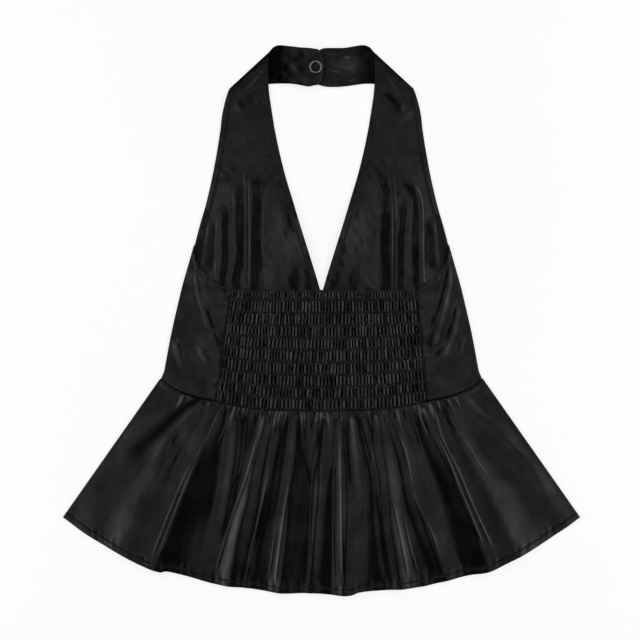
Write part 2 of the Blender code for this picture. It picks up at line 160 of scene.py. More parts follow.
SeamPoint = namedtuple("SeamPoint", "x y")
HALF_WAIST = table(
    SeamPoint,
    (0, -94.6), (33, -94.0), (65, -92.5), (90, -89.0), (108.5, -85.2), (127, -81.4), (141, -77.4),
    (153, -72.6), (161, -67.5), (168, -60.8),
)
WAIST = tuple(SeamPoint(-p.x, p.y) for p in HALF_WAIST[:0:-1]) + HALF_WAIST
HEM = table(
    SeamPoint,
    (-269.4, -205.4), (-244.4, -223.6), (-211.1, -242.3), (-184.0, -256.0), (-167.4, -261.8),
    (-161.2, -261.0), (-144.6, -265.2), (-111.3, -274.8), (-78.0, -278.9), (-44.7, -283.9),
    (-12.0, -284.4), (17.7, -286.5), (31.0, -286.2), (38.5, -283.7), (71.8, -280.8),
    (105.0, -277.7), (121.7, -273.5), (155.0, -265.2), (171.6, -262.1), (188.2, -254.8),
    (221.5, -237.5), (254.8, -216.0), (269.4, -205.4),
)
ARMHOLE = table(
    SeamPoint,
    (132.6, 79.6), (132.4, 70.0), (130.0, 60.0), (123.0, 50.8), (113.0, 41.6), (104.0, 35.4),
)
STITCH_LINES = (TOP_EDGE_Y, 20.8, 6.9, -6.1, -18.7, -31.2, -44.2, -57.2, -70.2, -82.3, -94.3)

# A ridge along a line of points. left and right are the widths of its flanks on the viewer's left
# and right of the line, height is its height, each at even steps from its first point to its last.
# fade is the length over which it rises at the first point and dies away at the last. bend is how
# hollow its left and right flanks are: 0 for straight, 1 for hollow, -1 for rounded.
Ridge = namedtuple("Ridge", "points left right height fade bend", defaults=[(0, 0)])


def even(points, width, height, fade, bend=0):
    """A ridge with both flanks alike."""
    return Ridge(points, width, width, height, fade, (bend, bend))


def thin(points, width, height, fade):
    """A thin sharp crease, which catches the light."""
    return even(points, width, height, fade, 1)


def patch(points, left, right, height, fade):
    """A soft patch along a line, with rounded flanks."""
    return Ridge(points, left, right, height, fade, (-0.5, -0.5))


PEPLUM_RIDGES = table(
    Ridge,
    (((-106, -87), (-120, -120), (-126, -136), (-136, -162), (-145.5, -188), (-156.5, -214),
      (-167, -240), (-175, -262)),
     (12, 90), (10, 34, 48), (2.6, 5.6), (6, 0), (0.3, 0.7)),
    (((-88, -91), (-90, -136), (-94, -162), (-98, -188), (-104, -214), (-110, -238)),
     (9, 15), (8, 12), (1.4, 2.2), (14, 44), (0.3, 0.5)),
    (((-57, -96), (-62, -119), (-67, -136), (-73, -162), (-78, -188), (-85, -214), (-90, -240),
      (-97, -278)),
     (6, 15), (9, 22), (2.0, 3.3), (6, 0), (0.3, 0.4)),
    (((-26, -97), (-28, -136), (-31, -162), (-34, -188), (-37, -214), (-39, -240), (-44, -284)),
     (7, 14), (26, 34), (1.6, 3.0), (6, 0), (0.3, 0.2)),
    (((22, -99), (23, -134), (25, -162), (26.5, -188), (26, -214), (25, -240), (24, -285)),
     (9, 15), (14, 26), (2.4, 4.0), (6, 0), (0, 0.2)),
    (((60, -95), (64, -136), (68, -162), (70.5, -188), (72.5, -214), (77, -240), (83, -279)),
     (8, 17), (9, 19), (2.0, 3.9), (6, 0), (0.4, 0.1)),
    (((68, -94), (85, -136), (91.5, -162), (97, -188), (107.5, -214), (118, -240), (131, -272)),
     (7, 15), (10, 24), (1.8, 2.8), (6, 0), (0.5, 0.4)),
    (((102, -88), (113, -117), (123, -136), (136, -162), (147, -188), (157.5, -214), (166.5, -240),
      (176, -262)),
     (9, 34), (12, 80), (2.6, 5.6), (6, 0), (0.7, 0.3)),
)
# Smaller folds, which lie on the large ones
PEPLUM_SMALL = table(
    Ridge,
    (((-131, -82), (-150, -94), (-172, -109), (-194, -130), (-214, -154)),
     (7, 24), (7, 15), (1.7, 2.0), (8, 48)),
    (((-127, -88), (-146, -110), (-166, -134), (-186, -164)),
     (6, 14), (7, 13), (1.4, 1.6), (8, 44)),
    (((-150, -120), (-173, -162), (-189, -188), (-199, -214), (-214, -242)),
     (10, 24), (12, 34), (0.8, 2.0), (16, 0)),
    (((-121, -86), (-136, -112), (-151, -137), (-163, -162), (-178, -188)),
     (4, 8), (4, 8), (0.8, 0.8), (10, 50), (0, 0.4)),
    (((-46, -96), (-51, -130), (-56, -162), (-60, -188), (-65, -214), (-72, -240), (-79, -282)),
     (3, 4.5), (6, 9), (0.8, 1.0), (6, 0), (0.2, 0)),
    (((3, -98), (0, -131), (-3, -162), (-4.5, -188), (-7, -214), (-9, -240), (-13, -285)),
     (24, 21, 6, 4.5, 4.5, 4.5), (16, 14, 10, 9, 10, 11), (2.8, 2.6, 1.3, 1.1, 1.2, 1.35), (6, 0),
     (0.1, 0)),
    (((29, -97), (30, -125), (33, -162), (38, -194)), (5, 7), (6, 11), (1.0, 1.0), (6, 36)),
    (((40, -96), (50, -136), (56, -162), (58.5, -188), (60.5, -214), (63.5, -240), (70, -281)),
     (5, 8), (3.5, 5), (0.8, 1.0), (8, 20), (0, 0.2)),
    (((128, -83), (149, -136), (165, -162), (177, -188), (191, -214), (206, -244)),
     (8, 22), (10, 28), (1.1, 2.4), (12, 0), (0.2, 0.2)),
    (((142, -77), (165, -100), (190, -119), (222, -160), (252, -214)),
     (6, 14), (6, 16), (0.9, 1.0), (12, 0)),
)
PEPLUM_LINES = table(
    thin,
    (((-127, -136), (-145, -170), (-175, -245)), (2, 2.5), (0.41, 0.57), (20, 12)),
    (((-106, -90), (-121, -125), (-142, -176), (-169, -246)), (2, 2.5), (0.49, 0.65), (6, 12)),
    (((-94, -100), (-110, -134)), (2, 2), (0.41, 0.32), (8, 12)),
    (((-78, -104), (-85, -158), (-95, -178)), (2, 2), (0.32, 0.32), (10, 14)),
    (((-66, -121), (-78, -164), (-93, -206), (-110, -262)), (2, 2.4), (0.32, 0.65), (20, 10)),
    (((-45, -107), (-52, -147), (-58, -175), (-67, -215), (-77, -262)),
     (2, 2), (0.41, 0.49), (10, 12)),
    (((-46, -206), (-54, -266)), (2, 2.2), (0.41, 0.57), (20, 8)),
    (((-31, -158), (-38, -198), (-48, -273)), (2, 2.4), (0.32, 0.73), (24, 8)),
    (((-1, -127), (-9, -167), (-13, -262)), (2, 2.4), (0.32, 0.32), (20, 30)),
    (((16, -114), (13, -180), (13, -272)), (2, 2.2), (0.41, 0.41), (14, 12)),
    (((20, -121), (21, -190), (22, -268)), (2, 2.2), (0.41, 0.57), (14, 12)),
    (((52, -131), (54, -158), (60, -187), (63, -214)), (2, 2), (0.32, 0.32), (10, 20)),
    (((74, -188), (81, -221), (90, -267)), (2, 2.4), (0.41, 0.57), (16, 10)),
    (((84, -196), (91, -232), (101, -267)), (2, 2.4), (0.41, 0.65), (16, 10)),
    (((77, -114), (87, -138), (97, -187), (113, -218), (123, -246)),
     (2, 2.4), (0.49, 0.49), (12, 16)),
    (((90, -94), (99, -117), (104, -135)), (2, 2), (0.49, 0.32), (8, 12)),
    (((101, -93), (111, -117), (123, -128), (147, -185), (168, -235)),
     (2, 2.4), (0.49, 0.65), (6, 14)),
    (((117, -92), (124, -121), (141, -155), (155, -189), (178, -239)),
     (2, 2.6), (0.41, 0.73), (6, 12)),
    (((124, -92), (141, -115), (162, -147), (182, -177)), (2, 2.4), (0.2, 0.22), (8, 30)),
    (((141, -82), (152, -97), (184, -116), (220, -150)), (2, 2.4), (0.32, 0.32), (8, 30)),
)

# Painted highlights on the peplum, which brighten its reflections: height says how much
PEPLUM_HIGHLIGHTS = table(
    patch,
    (((-66, -140), (-86, -200), (-106, -262)), (6, 7), (7, 9), (0.3, 0.5), (24, 0)),
    (((-30, -140), (-39, -190), (-46, -230), (-52, -272)), (7, 9), (8, 10), (0.3, 0.45), (30, 0)),
    (((-2, -140), (-6, -210), (-9, -264)), (5, 6), (5, 6), (0.7, 0.9), (20, 10)),
    (((15, -120), (17, -200), (19, -282)), (9, 12), (8, 10), (0.2, 0.25), (20, 0)),
    (((64, -120), (74, -180), (80, -220), (89, -264)), (7, 10), (10, 13), (0.3, 0.3), (30, 0)),
)
# Painted shade deep in the peplum's folds, which dims its reflections: height says how much
PEPLUM_FOLD_SHADE = table(
    patch,
    (((-124, -80), (-140, -89), (-157, -103), (-172, -118), (-190, -134), (-209, -152)),
     (5, 12), (6, 14), (1.0, 0.7), (3, 24)),
    (((-196, -146), (-212, -172), (-224, -192), (-236, -212)),
     (12, 12), (12, 14), (0.35, 0.4), (10, 20)),
    (((-158, -150), (-167, -174), (-188, -217), (-200, -245)),
     (7, 11), (8, 12), (0.35, 0.45), (14, 16)),
    (((138, -118), (158, -160), (176, -200), (190, -240)), (8, 12), (8, 12), (0.35, 0.5), (14, 16)),
    (((204, -168), (220, -190), (238, -215)), (10, 14), (10, 12), (0.3, 0.35), (14, 14)),
)

# The fronts rise a little from this far out towards the V
V_HINGE_X = 61.0
V_TILT = 0.085
V_BOTTOM_Y = 16.0  # where the V's stitches begin
FRONT_ROW_STEP = 1.8

FRONT_RIDGES = (
    Ridge(((-78, 166), (-74, 145), (-73, 124), (-73, 93), (-73.5, 62), (-74.5, 20)),
          (4.5, 5), (9, 11), (0.8, 0.95), (20, 24), (0.3, 0)),
    Ridge(((-92, 150), (-90.5, 124), (-90, 93), (-91, 62), (-94.5, 46), (-95, 20)),
          (4, 4.5), (9, 10.5), (0.9, 1.2), (20, 24), (0.2, 0)),
    Ridge(((-104, 124), (-105.5, 93), (-106, 62), (-108, 42), (-108, 20)),
          (4, 4.5), (8, 9.5), (0.9, 1.3), (16, 24), (0.2, 0)),
    Ridge(((-115, 110), (-117.5, 93), (-121.5, 62), (-123, 48)),
          (3.5, 4), (7, 10), (0.9, 1.6), (16, 14)),
    Ridge(((-121, 118), (-126, 96), (-131, 72)), (2, 2), (6, 8), (0.9, 1.4), (14, 10)),
    Ridge(((-42, 150), (-39.5, 129), (-41.6, 109), (-46.8, 93), (-53, 77), (-57, 64)),
          (14, 21, 20, 15, 7), (14, 18, 18, 16, 14), (0.5, 0.7, 0.7, 0.6, 0.4), (16, 10)),
    Ridge(((-38, 84), (-36, 72), (-34, 62), (-32, 46), (-31, 20)),
          (9, 14), (10, 16), (0.25, 0.35), (12, 20)),
    Ridge(((-19, 60), (-18.5, 46), (-17, 20)), (4, 5), (6, 9), (0.3, 0.5), (14, 16)),
    Ridge(((67, 166), (69.7, 145), (73, 124), (72, 93), (71.8, 62), (71.5, 20)),
          (9, 11), (4.5, 5), (0.8, 0.95), (20, 24), (0, 0.3)),
    Ridge(((92.6, 130), (90, 109), (88.4, 93), (87.4, 62), (87, 20)),
          (8, 9.5), (4, 4.5), (0.85, 1.1), (20, 24), (0, 0.2)),
    Ridge(((84, 147), (97.8, 137.8), (102.5, 118), (102.5, 93), (103.5, 62), (104, 20)),
          (8, 9.5), (4, 4.5), (0.95, 1.25), (14, 24), (0, 0.2)),
    Ridge(((114, 112), (117.5, 93), (118, 77), (119.6, 62), (121, 48)),
          (8, 10), (3.5, 4), (0.9, 1.6), (14, 14)),
    Ridge(((122, 116), (127, 94), (131.5, 72)), (6, 9), (2, 2), (0.9, 1.4), (14, 10)),
    Ridge(((47, 140), (43, 109), (44, 93), (45, 77), (46, 58)),
          (14, 18), (12, 14), (0.4, 0.6), (16, 20)),
    Ridge(((37, 112), (29, 93), (27, 77), (26, 62), (20, 46), (18, 26)),
          (12, 16), (7, 9), (0.2, 0.25), (10, 14)),
    # creases of the straps
    Ridge(((-59, 262), (-67.6, 249), (-82, 234), (-95, 218)),
          (3, 3), (14, 14), (0.75, 0.75), (8, 10), (0, 0.2)),
    even(((-66, 268), (-66, 249)), (2.5, 3), (0.4, 0.4), (8, 8), 0.4),
    Ridge(((64, 258), (70, 249), (79, 235), (90, 219)),
          (14, 14), (3, 3), (0.75, 0.75), (8, 10), (0.2, 0)),
    even(((65, 260), (65, 230)), (2.5, 3), (0.4, 0.4), (10, 12), 0.4),
)
FRONT_LINES = (
    thin(((-81, 163), (-78.5, 130), (-78.3, 60), (-79, 20)), (2, 2), (0.6, 0.7), (14, 20)),
    Ridge(((-75.5, 150), (-74.5, 120), (-74, 60), (-75, 20)),
          (2, 2), (1.5, 1.5), (0.3, 0.5), (14, 20), (1, 1)),
    thin(((-95, 135), (-94, 60)), (2, 2), (0.3, 0.4), (14, 14)),
    thin(((-108, 118), (-109.5, 80), (-110.5, 42)), (2, 2), (0.5, 0.6), (14, 14)),
    thin(((73, 160), (76.5, 124), (77, 60), (76.5, 20)), (2, 2), (0.6, 0.7), (14, 20)),
    Ridge(((72, 140), (73, 100), (72.6, 20)), (1.5, 1.5), (2, 2), (0.3, 0.5), (14, 20), (1, 1)),
    thin(((92, 110), (91.5, 30)), (2, 2), (0.4, 0.5), (14, 20)),
    thin(((88, 143), (100, 136), (105, 118), (105, 80), (107, 24)), (2, 2), (0.4, 0.55), (8, 20)),
    thin(((110, 94), (111, 50)), (2, 2), (0.4, 0.5), (14, 12)),
)
BAND_RIDGES = table(
    even,
    (((-34, 279), (-27, 264), (-21, 253)), (4, 4), (0.7, 0.6), (8, 8), 0.2),
    (((-20, 274), (-12, 270), (-7, 274)), (3, 3), (0.5, 0.5), (6, 6), 0.3),
    (((-41, 255), (-29, 254)), (2.5, 2.5), (0.4, 0.4), (5, 5), 0.3),
    (((-3, 279), (-8, 275), (-9.5, 268), (-9, 258), (-4, 249)), (2, 2), (0.4, 0.4), (4, 4)),
    (((12, 271), (22, 272.5), (33, 270)), (4, 5), (0.3, 0.35), (7, 7), 0.2),
    (((13, 264), (22, 266), (34, 263)), (3, 4), (0.25, 0.3), (7, 7), 0.2),
    (((5, 277), (12, 276), (20, 279)), (3, 3), (0.5, 0.5), (5, 5), 0.2),
    (((6, 262), (12, 258), (22, 257)), (2.5, 3), (0.4, 0.5), (5, 6), 0.2),
    (((-4, 255), (4, 248)), (1.5, 1.5), (0.4, 0.4), (4, 4), 0.8),
)

SIDE_RIDGES = (
    Ridge(((-131, 56), (-128, 30), (-118, -2), (-114, -14)),
          (4, 5), (4, 6), (1.05, 0.94), (16, 12), (0.4, 0.4)),
    even(((-126, 50), (-124, 32), (-117, 6)), (3, 3), (0.59, 0.47), (10, 12), 0.5),
    even(((-116, -8), (-106, -36)), (4, 5), (0.7, 0.59), (8, 12), 0.4),
    even(((-128, -22), (-118, -44), (-104, -46)), (5, 5), (0.88, 0.7), (10, 12), 0.4),
    Ridge(((-153, -16), (-149, -32), (-141, -56)),
          (5, 6), (4, 5), (0.65, 0.59), (10, 14), (0.3, 0.3)),
    even(((133, 69), (132, 40), (126, 14), (113, -34)), (5, 6), (1.05, 1.05), (16, 16), 0.35),
    even(((130, 50), (126, 24), (111, -20)), (3, 3), (0.59, 0.53), (14, 16), 0.5),
    even(((143, 22), (140, 4), (132, -22), (118, -46)), (5, 6), (0.94, 0.88), (14, 14), 0.4),
    even(((148, -14), (142, -40)), (4, 4), (0.7, 0.59), (8, 10), 0.5),
)

# Gathers of the peplum's seam
GATHER_PITCH = (6.0, 11.0)
GATHER_REACH = (6.0, 19.0)
GATHER_HALF = (2.2, 4.2)
GATHER_HEIGHT = (0.5, 1.3)
GATHERED_HALF_WIDTH = 142.0

FLOOR_REACH = 3000.0

# Light and camera, in metres, with the lens and its sensor in millimetres. A light's size is its
# length across the way to its aim, then along it. The lights that shine straight down aim one
# millimetre off, to say which way that is.
Softbox = namedtuple("Softbox", "name place aim size radiance")
PAIRED_LIGHTS = table(
    Softbox,
    ("key", (0.89, 0.0, 0.62), (0.27, 0.0, 0.0), (1.8, 0.5), 1.4),
    ("side", (0.55, 0.0, 0.74), (0.549, 0.0, 0.0), (1.8, 0.26), 0.54),
    ("fill", (0.335, -0.2, 0.75), (0.334, -0.2, 0.0), (1.24, 0.17), 0.22),
    ("near", (0.195, 0.175, 0.75), (0.194, 0.175, 0.0), (0.17, 0.12), 0.92),
    ("mid", (0.175, -0.03, 0.75), (0.174, -0.03, 0.0), (0.24, 0.15), 0.46),
    ("low", (0.195, -0.275, 0.75), (0.194, -0.275, 0.0), (0.25, 0.13), 0.52),
    ("hem", (0.21, -0.61, 0.75), (0.209, -0.61, 0.0), (0.42, 0.1), 0.31),
)
END_LIGHTS = table(
    Softbox,
    ("fill_top", (0.0, 0.36, 0.75), (0.0, 0.359, 0.0), (0.56, 0.16), 0.33),
    ("far_top", (0.0, 0.62, 0.75), (0.0, 0.619, 0.0), (0.84, 0.34), 0.2),
    ("key_low", (0.0, -1.1, 0.55), (0.0, -0.3, 0.0), (1.6, 0.5), 0.6),
    ("key_top", (0.0, 0.95, 0.62), (0.0, 0.33, 0.0), (1.0, 0.4), 0.8),
)
WORLD_STRENGTH = 0.02
LENS = 51.0
SENSOR = 36.0
FRAME_WIDTH = 0.6656
FRAME_CENTRE_X = -0.00156
CLOTH_HEIGHT = 0.004


# Numbers


def between(a, b, share):
    return a + (b - a) * share


def hump(offset, width):
    return np.exp(-((offset / width) ** 2))


def ease(share):
    share = np.clip(share, 0.0, 1.0)
    return share * share * (3 - 2 * share)


def curve(knots, values, at):
    """Values on a smooth curve through knots, which are in rising order."""
    knots, values = np.asarray(knots, float), np.asarray(values, float)
    at = np.clip(at, knots[0], knots[-1])
    slopes = np.empty_like(values)
    slopes[1:-1] = (values[2:] - values[:-2]) / (knots[2:] - knots[:-2])
    slopes[0] = (values[1] - values[0]) / (knots[1] - knots[0])
    slopes[-1] = (values[-1] - values[-2]) / (knots[-1] - knots[-2])
    i = np.clip(np.searchsorted(knots, at, side="right") - 1, 0, len(knots) - 2)
    span = knots[i + 1] - knots[i]
    t = (at - knots[i]) / span
    return (
        (2 * t**3 - 3 * t**2 + 1) * values[i]
        + (t**3 - 2 * t**2 + t) * span * slopes[i]
        + (3 * t**2 - 2 * t**3) * values[i + 1]
        + (t**3 - t**2) * span * slopes[i + 1]
    )


def along(seam, x):
    return curve([p.x for p in seam], [p.y for p in seam], x)


def bodice_side(y):
    return curve([row.y for row in BODICE], [row.side for row in BODICE], y)


def ripple(x, y, length, seed):
    """Smooth unevenness between about -1 and 1, with waves of about the given length."""
    rng = random.Random(seed)
    total = np.zeros(np.broadcast(x, y).shape)
    waves = 7
    for _ in range(waves):
        angle = rng.uniform(0, math.pi)
        size = 2 * math.pi / (length * rng.uniform(0.7, 1.5))
        phase = rng.uniform(0, 2 * math.pi)
        total += np.sin((x * math.cos(angle) + y * math.sin(angle)) * size + phase)
    return total / math.sqrt(waves)


def runs(points, axis):
    """Length along a grid's rows or columns from its first point."""
    steps = np.linalg.norm(np.diff(points, axis=axis), axis=2)
    start = np.zeros_like(np.take(steps, [0], axis=axis))
    return np.concatenate([start, np.cumsum(steps, axis=axis)], axis=axis)


# Ridges


def traced(points, count=26):
    """A smooth line through a ridge's points, and its length."""
    points = np.array(points, float)
    steps = np.concatenate([[0], np.cumsum(np.hypot(*np.diff(points, axis=0).T))])
    at = np.linspace(0, steps[-1], count)
    return np.stack([curve(steps, points[:, k], at) for k in (0, 1)], axis=1), steps[-1]


def ridge_height(ridge, x, y):
    line, length = traced(ridge.points)
    reach = max(ridge.left + ridge.right)
    low, high = line.min(axis=0) - reach, line.max(axis=0) + reach
    near = (x > low[0]) & (x < high[0]) & (y > low[1]) & (y < high[1])
    total = np.zeros(x.shape)
    if not near.any():
        return total
    px, py = x[near], y[near]
    offset = np.full(px.shape, reach * 2.0)
    run = np.zeros(px.shape)
    for k in range(len(line) - 1):
        ax, ay = line[k]
        dx, dy = line[k + 1] - line[k]
        t = np.clip(((px - ax) * dx + (py - ay) * dy) / (dx * dx + dy * dy), 0, 1)
        gap = np.hypot(px - ax - t * dx, py - ay - t * dy)
        side = np.where(dx * (py - ay) - dy * (px - ax) > 0, 1.0, -1.0)
        closer = gap < np.abs(offset)
        offset = np.where(closer, side * gap, offset)
        run = np.where(closer, (k + t) * length / (len(line) - 1), run)

    share = run / length

    def station(values):
        return np.interp(share, np.linspace(0, 1, len(values)), values)

    half = np.where(offset < 0, station(ridge.left), station(ridge.right))
    bend = np.where(offset < 0, ridge.bend[0], ridge.bend[1])
    t = np.clip(np.abs(offset) / half, 0, 1)
    plain = 0.6 * (1 - t) + 0.2 * (1 + np.cos(math.pi * t))
    shape = between(plain, np.where(bend > 0, (1 - t) ** 2, 1 - t * t), np.abs(bend))
    fade_in = ease(run / ridge.fade[0]) if ridge.fade[0] else 1.0
    fade_out = ease((length - run) / ridge.fade[1]) if ridge.fade[1] else 1.0
    total[near] = station(ridge.height) * shape * fade_in * fade_out
    return total


def joined(ridges, x, y):
    """Ridges that run into each other softly: where they meet, the higher one shows."""
    total = np.zeros(np.broadcast(x, y).shape)
    for ridge in ridges:
        total += ridge_height(ridge, x, y) ** 3
    return np.cbrt(total)


def softened(heights, passes):
    """Heights of a grid with their sharp crests rounded along its rows."""
    for _ in range(passes):
        sides = (heights[:, :-2] + heights[:, 2:]) / 2
        heights = np.concatenate(
            [heights[:, :1], (heights[:, 1:-1] + sides) / 2, heights[:, -1:]], axis=1
        )
    return heights


def summed(ridges, x, y):
    total = np.zeros(np.broadcast(x, y).shape)
    for ridge in ridges:
        total += ridge_height(ridge, x, y)
    return total


# Meshes


def normals_of(points):
    """Unit normals of a grid of points, rows by columns by 3."""
    down = np.gradient(points, axis=0)
    across = np.gradient(points, axis=1)
    normal = np.cross(across, down)
    return normal / np.maximum(np.linalg.norm(normal, axis=2, keepdims=True), 1e-9)


def upward(normal):
    return normal * np.where(normal[:, :, 2:] < 0, -1.0, 1.0)


def edge_loop(rows, columns):
    """The outside points of a grid in order, each with its neighbour towards the inside."""
    loop = [((0, j), (1, j)) for j in range(columns - 1)]
    loop += [((i, columns - 1), (i, columns - 2)) for i in range(rows - 1)]
    loop += [((rows - 1, j), (rows - 2, j)) for j in range(columns - 1, 0, -1)]
    loop += [((i, 0), (i, 1)) for i in range(rows - 1, 0, -1)]
    return np.array(loop)


def mesh_object(name, points, faces, material):
    """Makes an object of points in millimetres, with its faces turned outwards."""
    mesh = bpy.data.meshes.new(name)
    mesh.from_pydata((points * MM).tolist(), [], faces)
    bm = bmesh.new()
    bm.from_mesh(mesh)
    bmesh.ops.recalc_face_normals(bm, faces=bm.faces[:])
    bm.to_mesh(mesh)
    bm.free()
    mesh.shade_smooth()
    mesh.materials.append(material)
    obj = bpy.data.objects.new(name, mesh)
    bpy.context.scene.collection.objects.link(obj)
    return obj


def grid_faces(rows, columns, start=0):
    index = np.arange(rows * columns).reshape(rows, columns) + start
    corners = (index[:-1, :-1], index[:-1, 1:], index[1:, 1:], index[1:, :-1])
    return np.stack(corners, axis=-1).reshape(-1, 4)


def shell(name, upper, lower, material, shade_and_sheen=None, under=None, roll=0.15):
    """A closed thin shell between two grids of points, with a round edge. Painted shade and sheen,
    one value for each point of the upper grid, becomes an attribute that dims the reflections and
    roughens the coating: 1 for the deepest painted shade, 0 where plain, less for a painted sheen.
    under does the same for the lower grid and the edge."""
    rows, columns = upper.shape[:2]
    count = rows * columns
    loop = edge_loop(rows, columns)
    edge, inner = (loop[:, k, 0] * columns + loop[:, k, 1] for k in (0, 1))
    high, low = upper.reshape(-1, 3), lower.reshape(-1, 3)
    middle, half = (high[edge] + low[edge]) / 2, (high[edge] - low[edge]) / 2
    out = middle - (high[inner] + low[inner]) / 2
    out /= np.maximum(np.linalg.norm(out, axis=1, keepdims=True), 1e-6)
    rings = [edge]
    points = [high, low]
    steps = 4
    for step in range(1, steps):
        angle = math.pi * step / steps
        points.append(middle + half * math.cos(angle) + out * roll * math.sin(angle))
        rings.append(2 * count + (step - 1) * len(edge) + np.arange(len(edge)))
    rings.append(edge + count)
    faces = [grid_faces(rows, columns), grid_faces(rows, columns, count)[:, ::-1]]
    for above, below in zip(rings, rings[1:]):
        strip = (above, below, np.roll(below, -1), np.roll(above, -1))
        faces.append(np.stack(strip, axis=-1))
    points = np.concatenate(points)
    points[:, 2] = np.maximum(points[:, 2], LOW / 2)
    obj = mesh_object(name, points, np.concatenate(faces).tolist(), material)
    # painted shade and sheen for every point, kept as an attribute for the material
    painted_light = np.zeros(len(points))
    if shade_and_sheen is not None:
        painted_light[:count] = shade_and_sheen.reshape(-1)
    if under is not None:
        painted_light[count : 2 * count] = under.reshape(-1)
        painted_light[2 * count :] = np.tile(under.reshape(-1)[edge], steps - 1)
    obj.data.attributes.new("shade_and_sheen", "FLOAT", "POINT").data.foreach_set("value", painted_light)
    return obj


def stitches(name, lines, material):
    """Stitches of thread along lines of points on the cloth, each line with its normals."""
    sides, rings = 6, np.array([-1.0, -0.72, 0.0, 0.72, 1.0])
    girth = np.array([0.3, 0.8, 1.0, 0.8, 0.3])
    turn = np.arange(sides) * 2 * math.pi / sides
    points = []
    for spots, normals in lines:
        run = np.concatenate([[0], np.cumsum(np.linalg.norm(np.diff(spots, axis=0), axis=1))])
        middle = np.arange(STITCH_PITCH, run[-1] - STITCH_LENGTH, STITCH_PITCH)

        def at(values, places):
            return np.stack([np.interp(places, run, values[:, k]) for k in range(3)], axis=1)

        centre = at(spots, middle)
        forward = at(spots, middle + STITCH_LENGTH / 2) - at(spots, middle - STITCH_LENGTH / 2)
        forward /= np.linalg.norm(forward, axis=1, keepdims=True)
        up = at(normals, middle)
        sideways = np.cross(forward, up)
        sideways /= np.linalg.norm(sideways, axis=1, keepdims=True)
        up = np.cross(sideways, forward)
        for place, size in zip(rings, girth):
            sink = THREAD_RADIUS * (0.35 - 1.2 * place * place)
            core = centre + forward * place * STITCH_LENGTH / 2 + up * sink
            for angle in turn:
                reach = sideways * math.cos(angle) + up * math.sin(angle)
                points.append(core + reach * size * THREAD_RADIUS)
    per_line = len(rings) * sides
    clouds = [
        np.stack(points[k : k + per_line], axis=1) for k in range(0, len(points), per_line)
    ]
    cloud = np.concatenate(clouds)
    cloud[:, :, 2] = np.maximum(cloud[:, :, 2], LOW / 2)
    faces = []
    for ring in range(len(rings) - 1):
        for k in range(sides):
            after = (k + 1) % sides
            a, b = ring * sides, (ring + 1) * sides
            faces.append((a + k, a + after, b + after, b + k))
    last = (len(rings) - 1) * sides
    for start in (0, last):
        faces.append((start, start + 1, start + 2, start + 3))
        faces.append((start, start + 3, start + 4, start + 5))
    faces = np.array(faces)
    every = (np.arange(len(cloud))[:, None, None] * per_line + faces).reshape(-1, 4)
    return mesh_object(name, cloud.reshape(-1, 3), every.tolist(), material)


def line_on(surface, normal, column_at, rows):
    """The points and normals of a grid at a fractional column in each of some rows."""
    low = np.clip(np.floor(column_at).astype(int), 0, surface.shape[1] - 2)
    part = (column_at - low)[:, None]
    line = []
    for grid in (surface, normal):
        line.append(between(grid[rows, low], grid[rows, low + 1], part))
    return tuple(line)


def inset_line(surface, normal, distance, rows, inset):
    """The line at an inset from the first column, where distance is the length along the rows."""
    columns = np.arange(surface.shape[1])
    at = np.array([np.interp(inset, distance[row], columns) for row in rows])
    return line_on(surface, normal, at, rows)


# Materials


def new_material(name):
    """A new material, its node tree and its shader."""
    material = bpy.data.materials.new(name)
    material.use_nodes = True
    return material, material.node_tree, material.node_tree.nodes["Principled BSDF"]


def fill(tree, made, **inputs):
    """Sets a node's inputs, each to a constant or by a link from another node's output."""
    for key, value in inputs.items():
        socket = made.inputs[key.replace("_", " ")]
        if isinstance(value, bpy.types.NodeSocket):
            tree.links.new(value, socket)
        else:
            socket.default_value = value


def node(tree, kind, settings=(), **inputs):
    made = tree.nodes.new(kind)
    for key, value in dict(settings).items():
        setattr(made, key, value)
    fill(tree, made, **inputs)
    return made


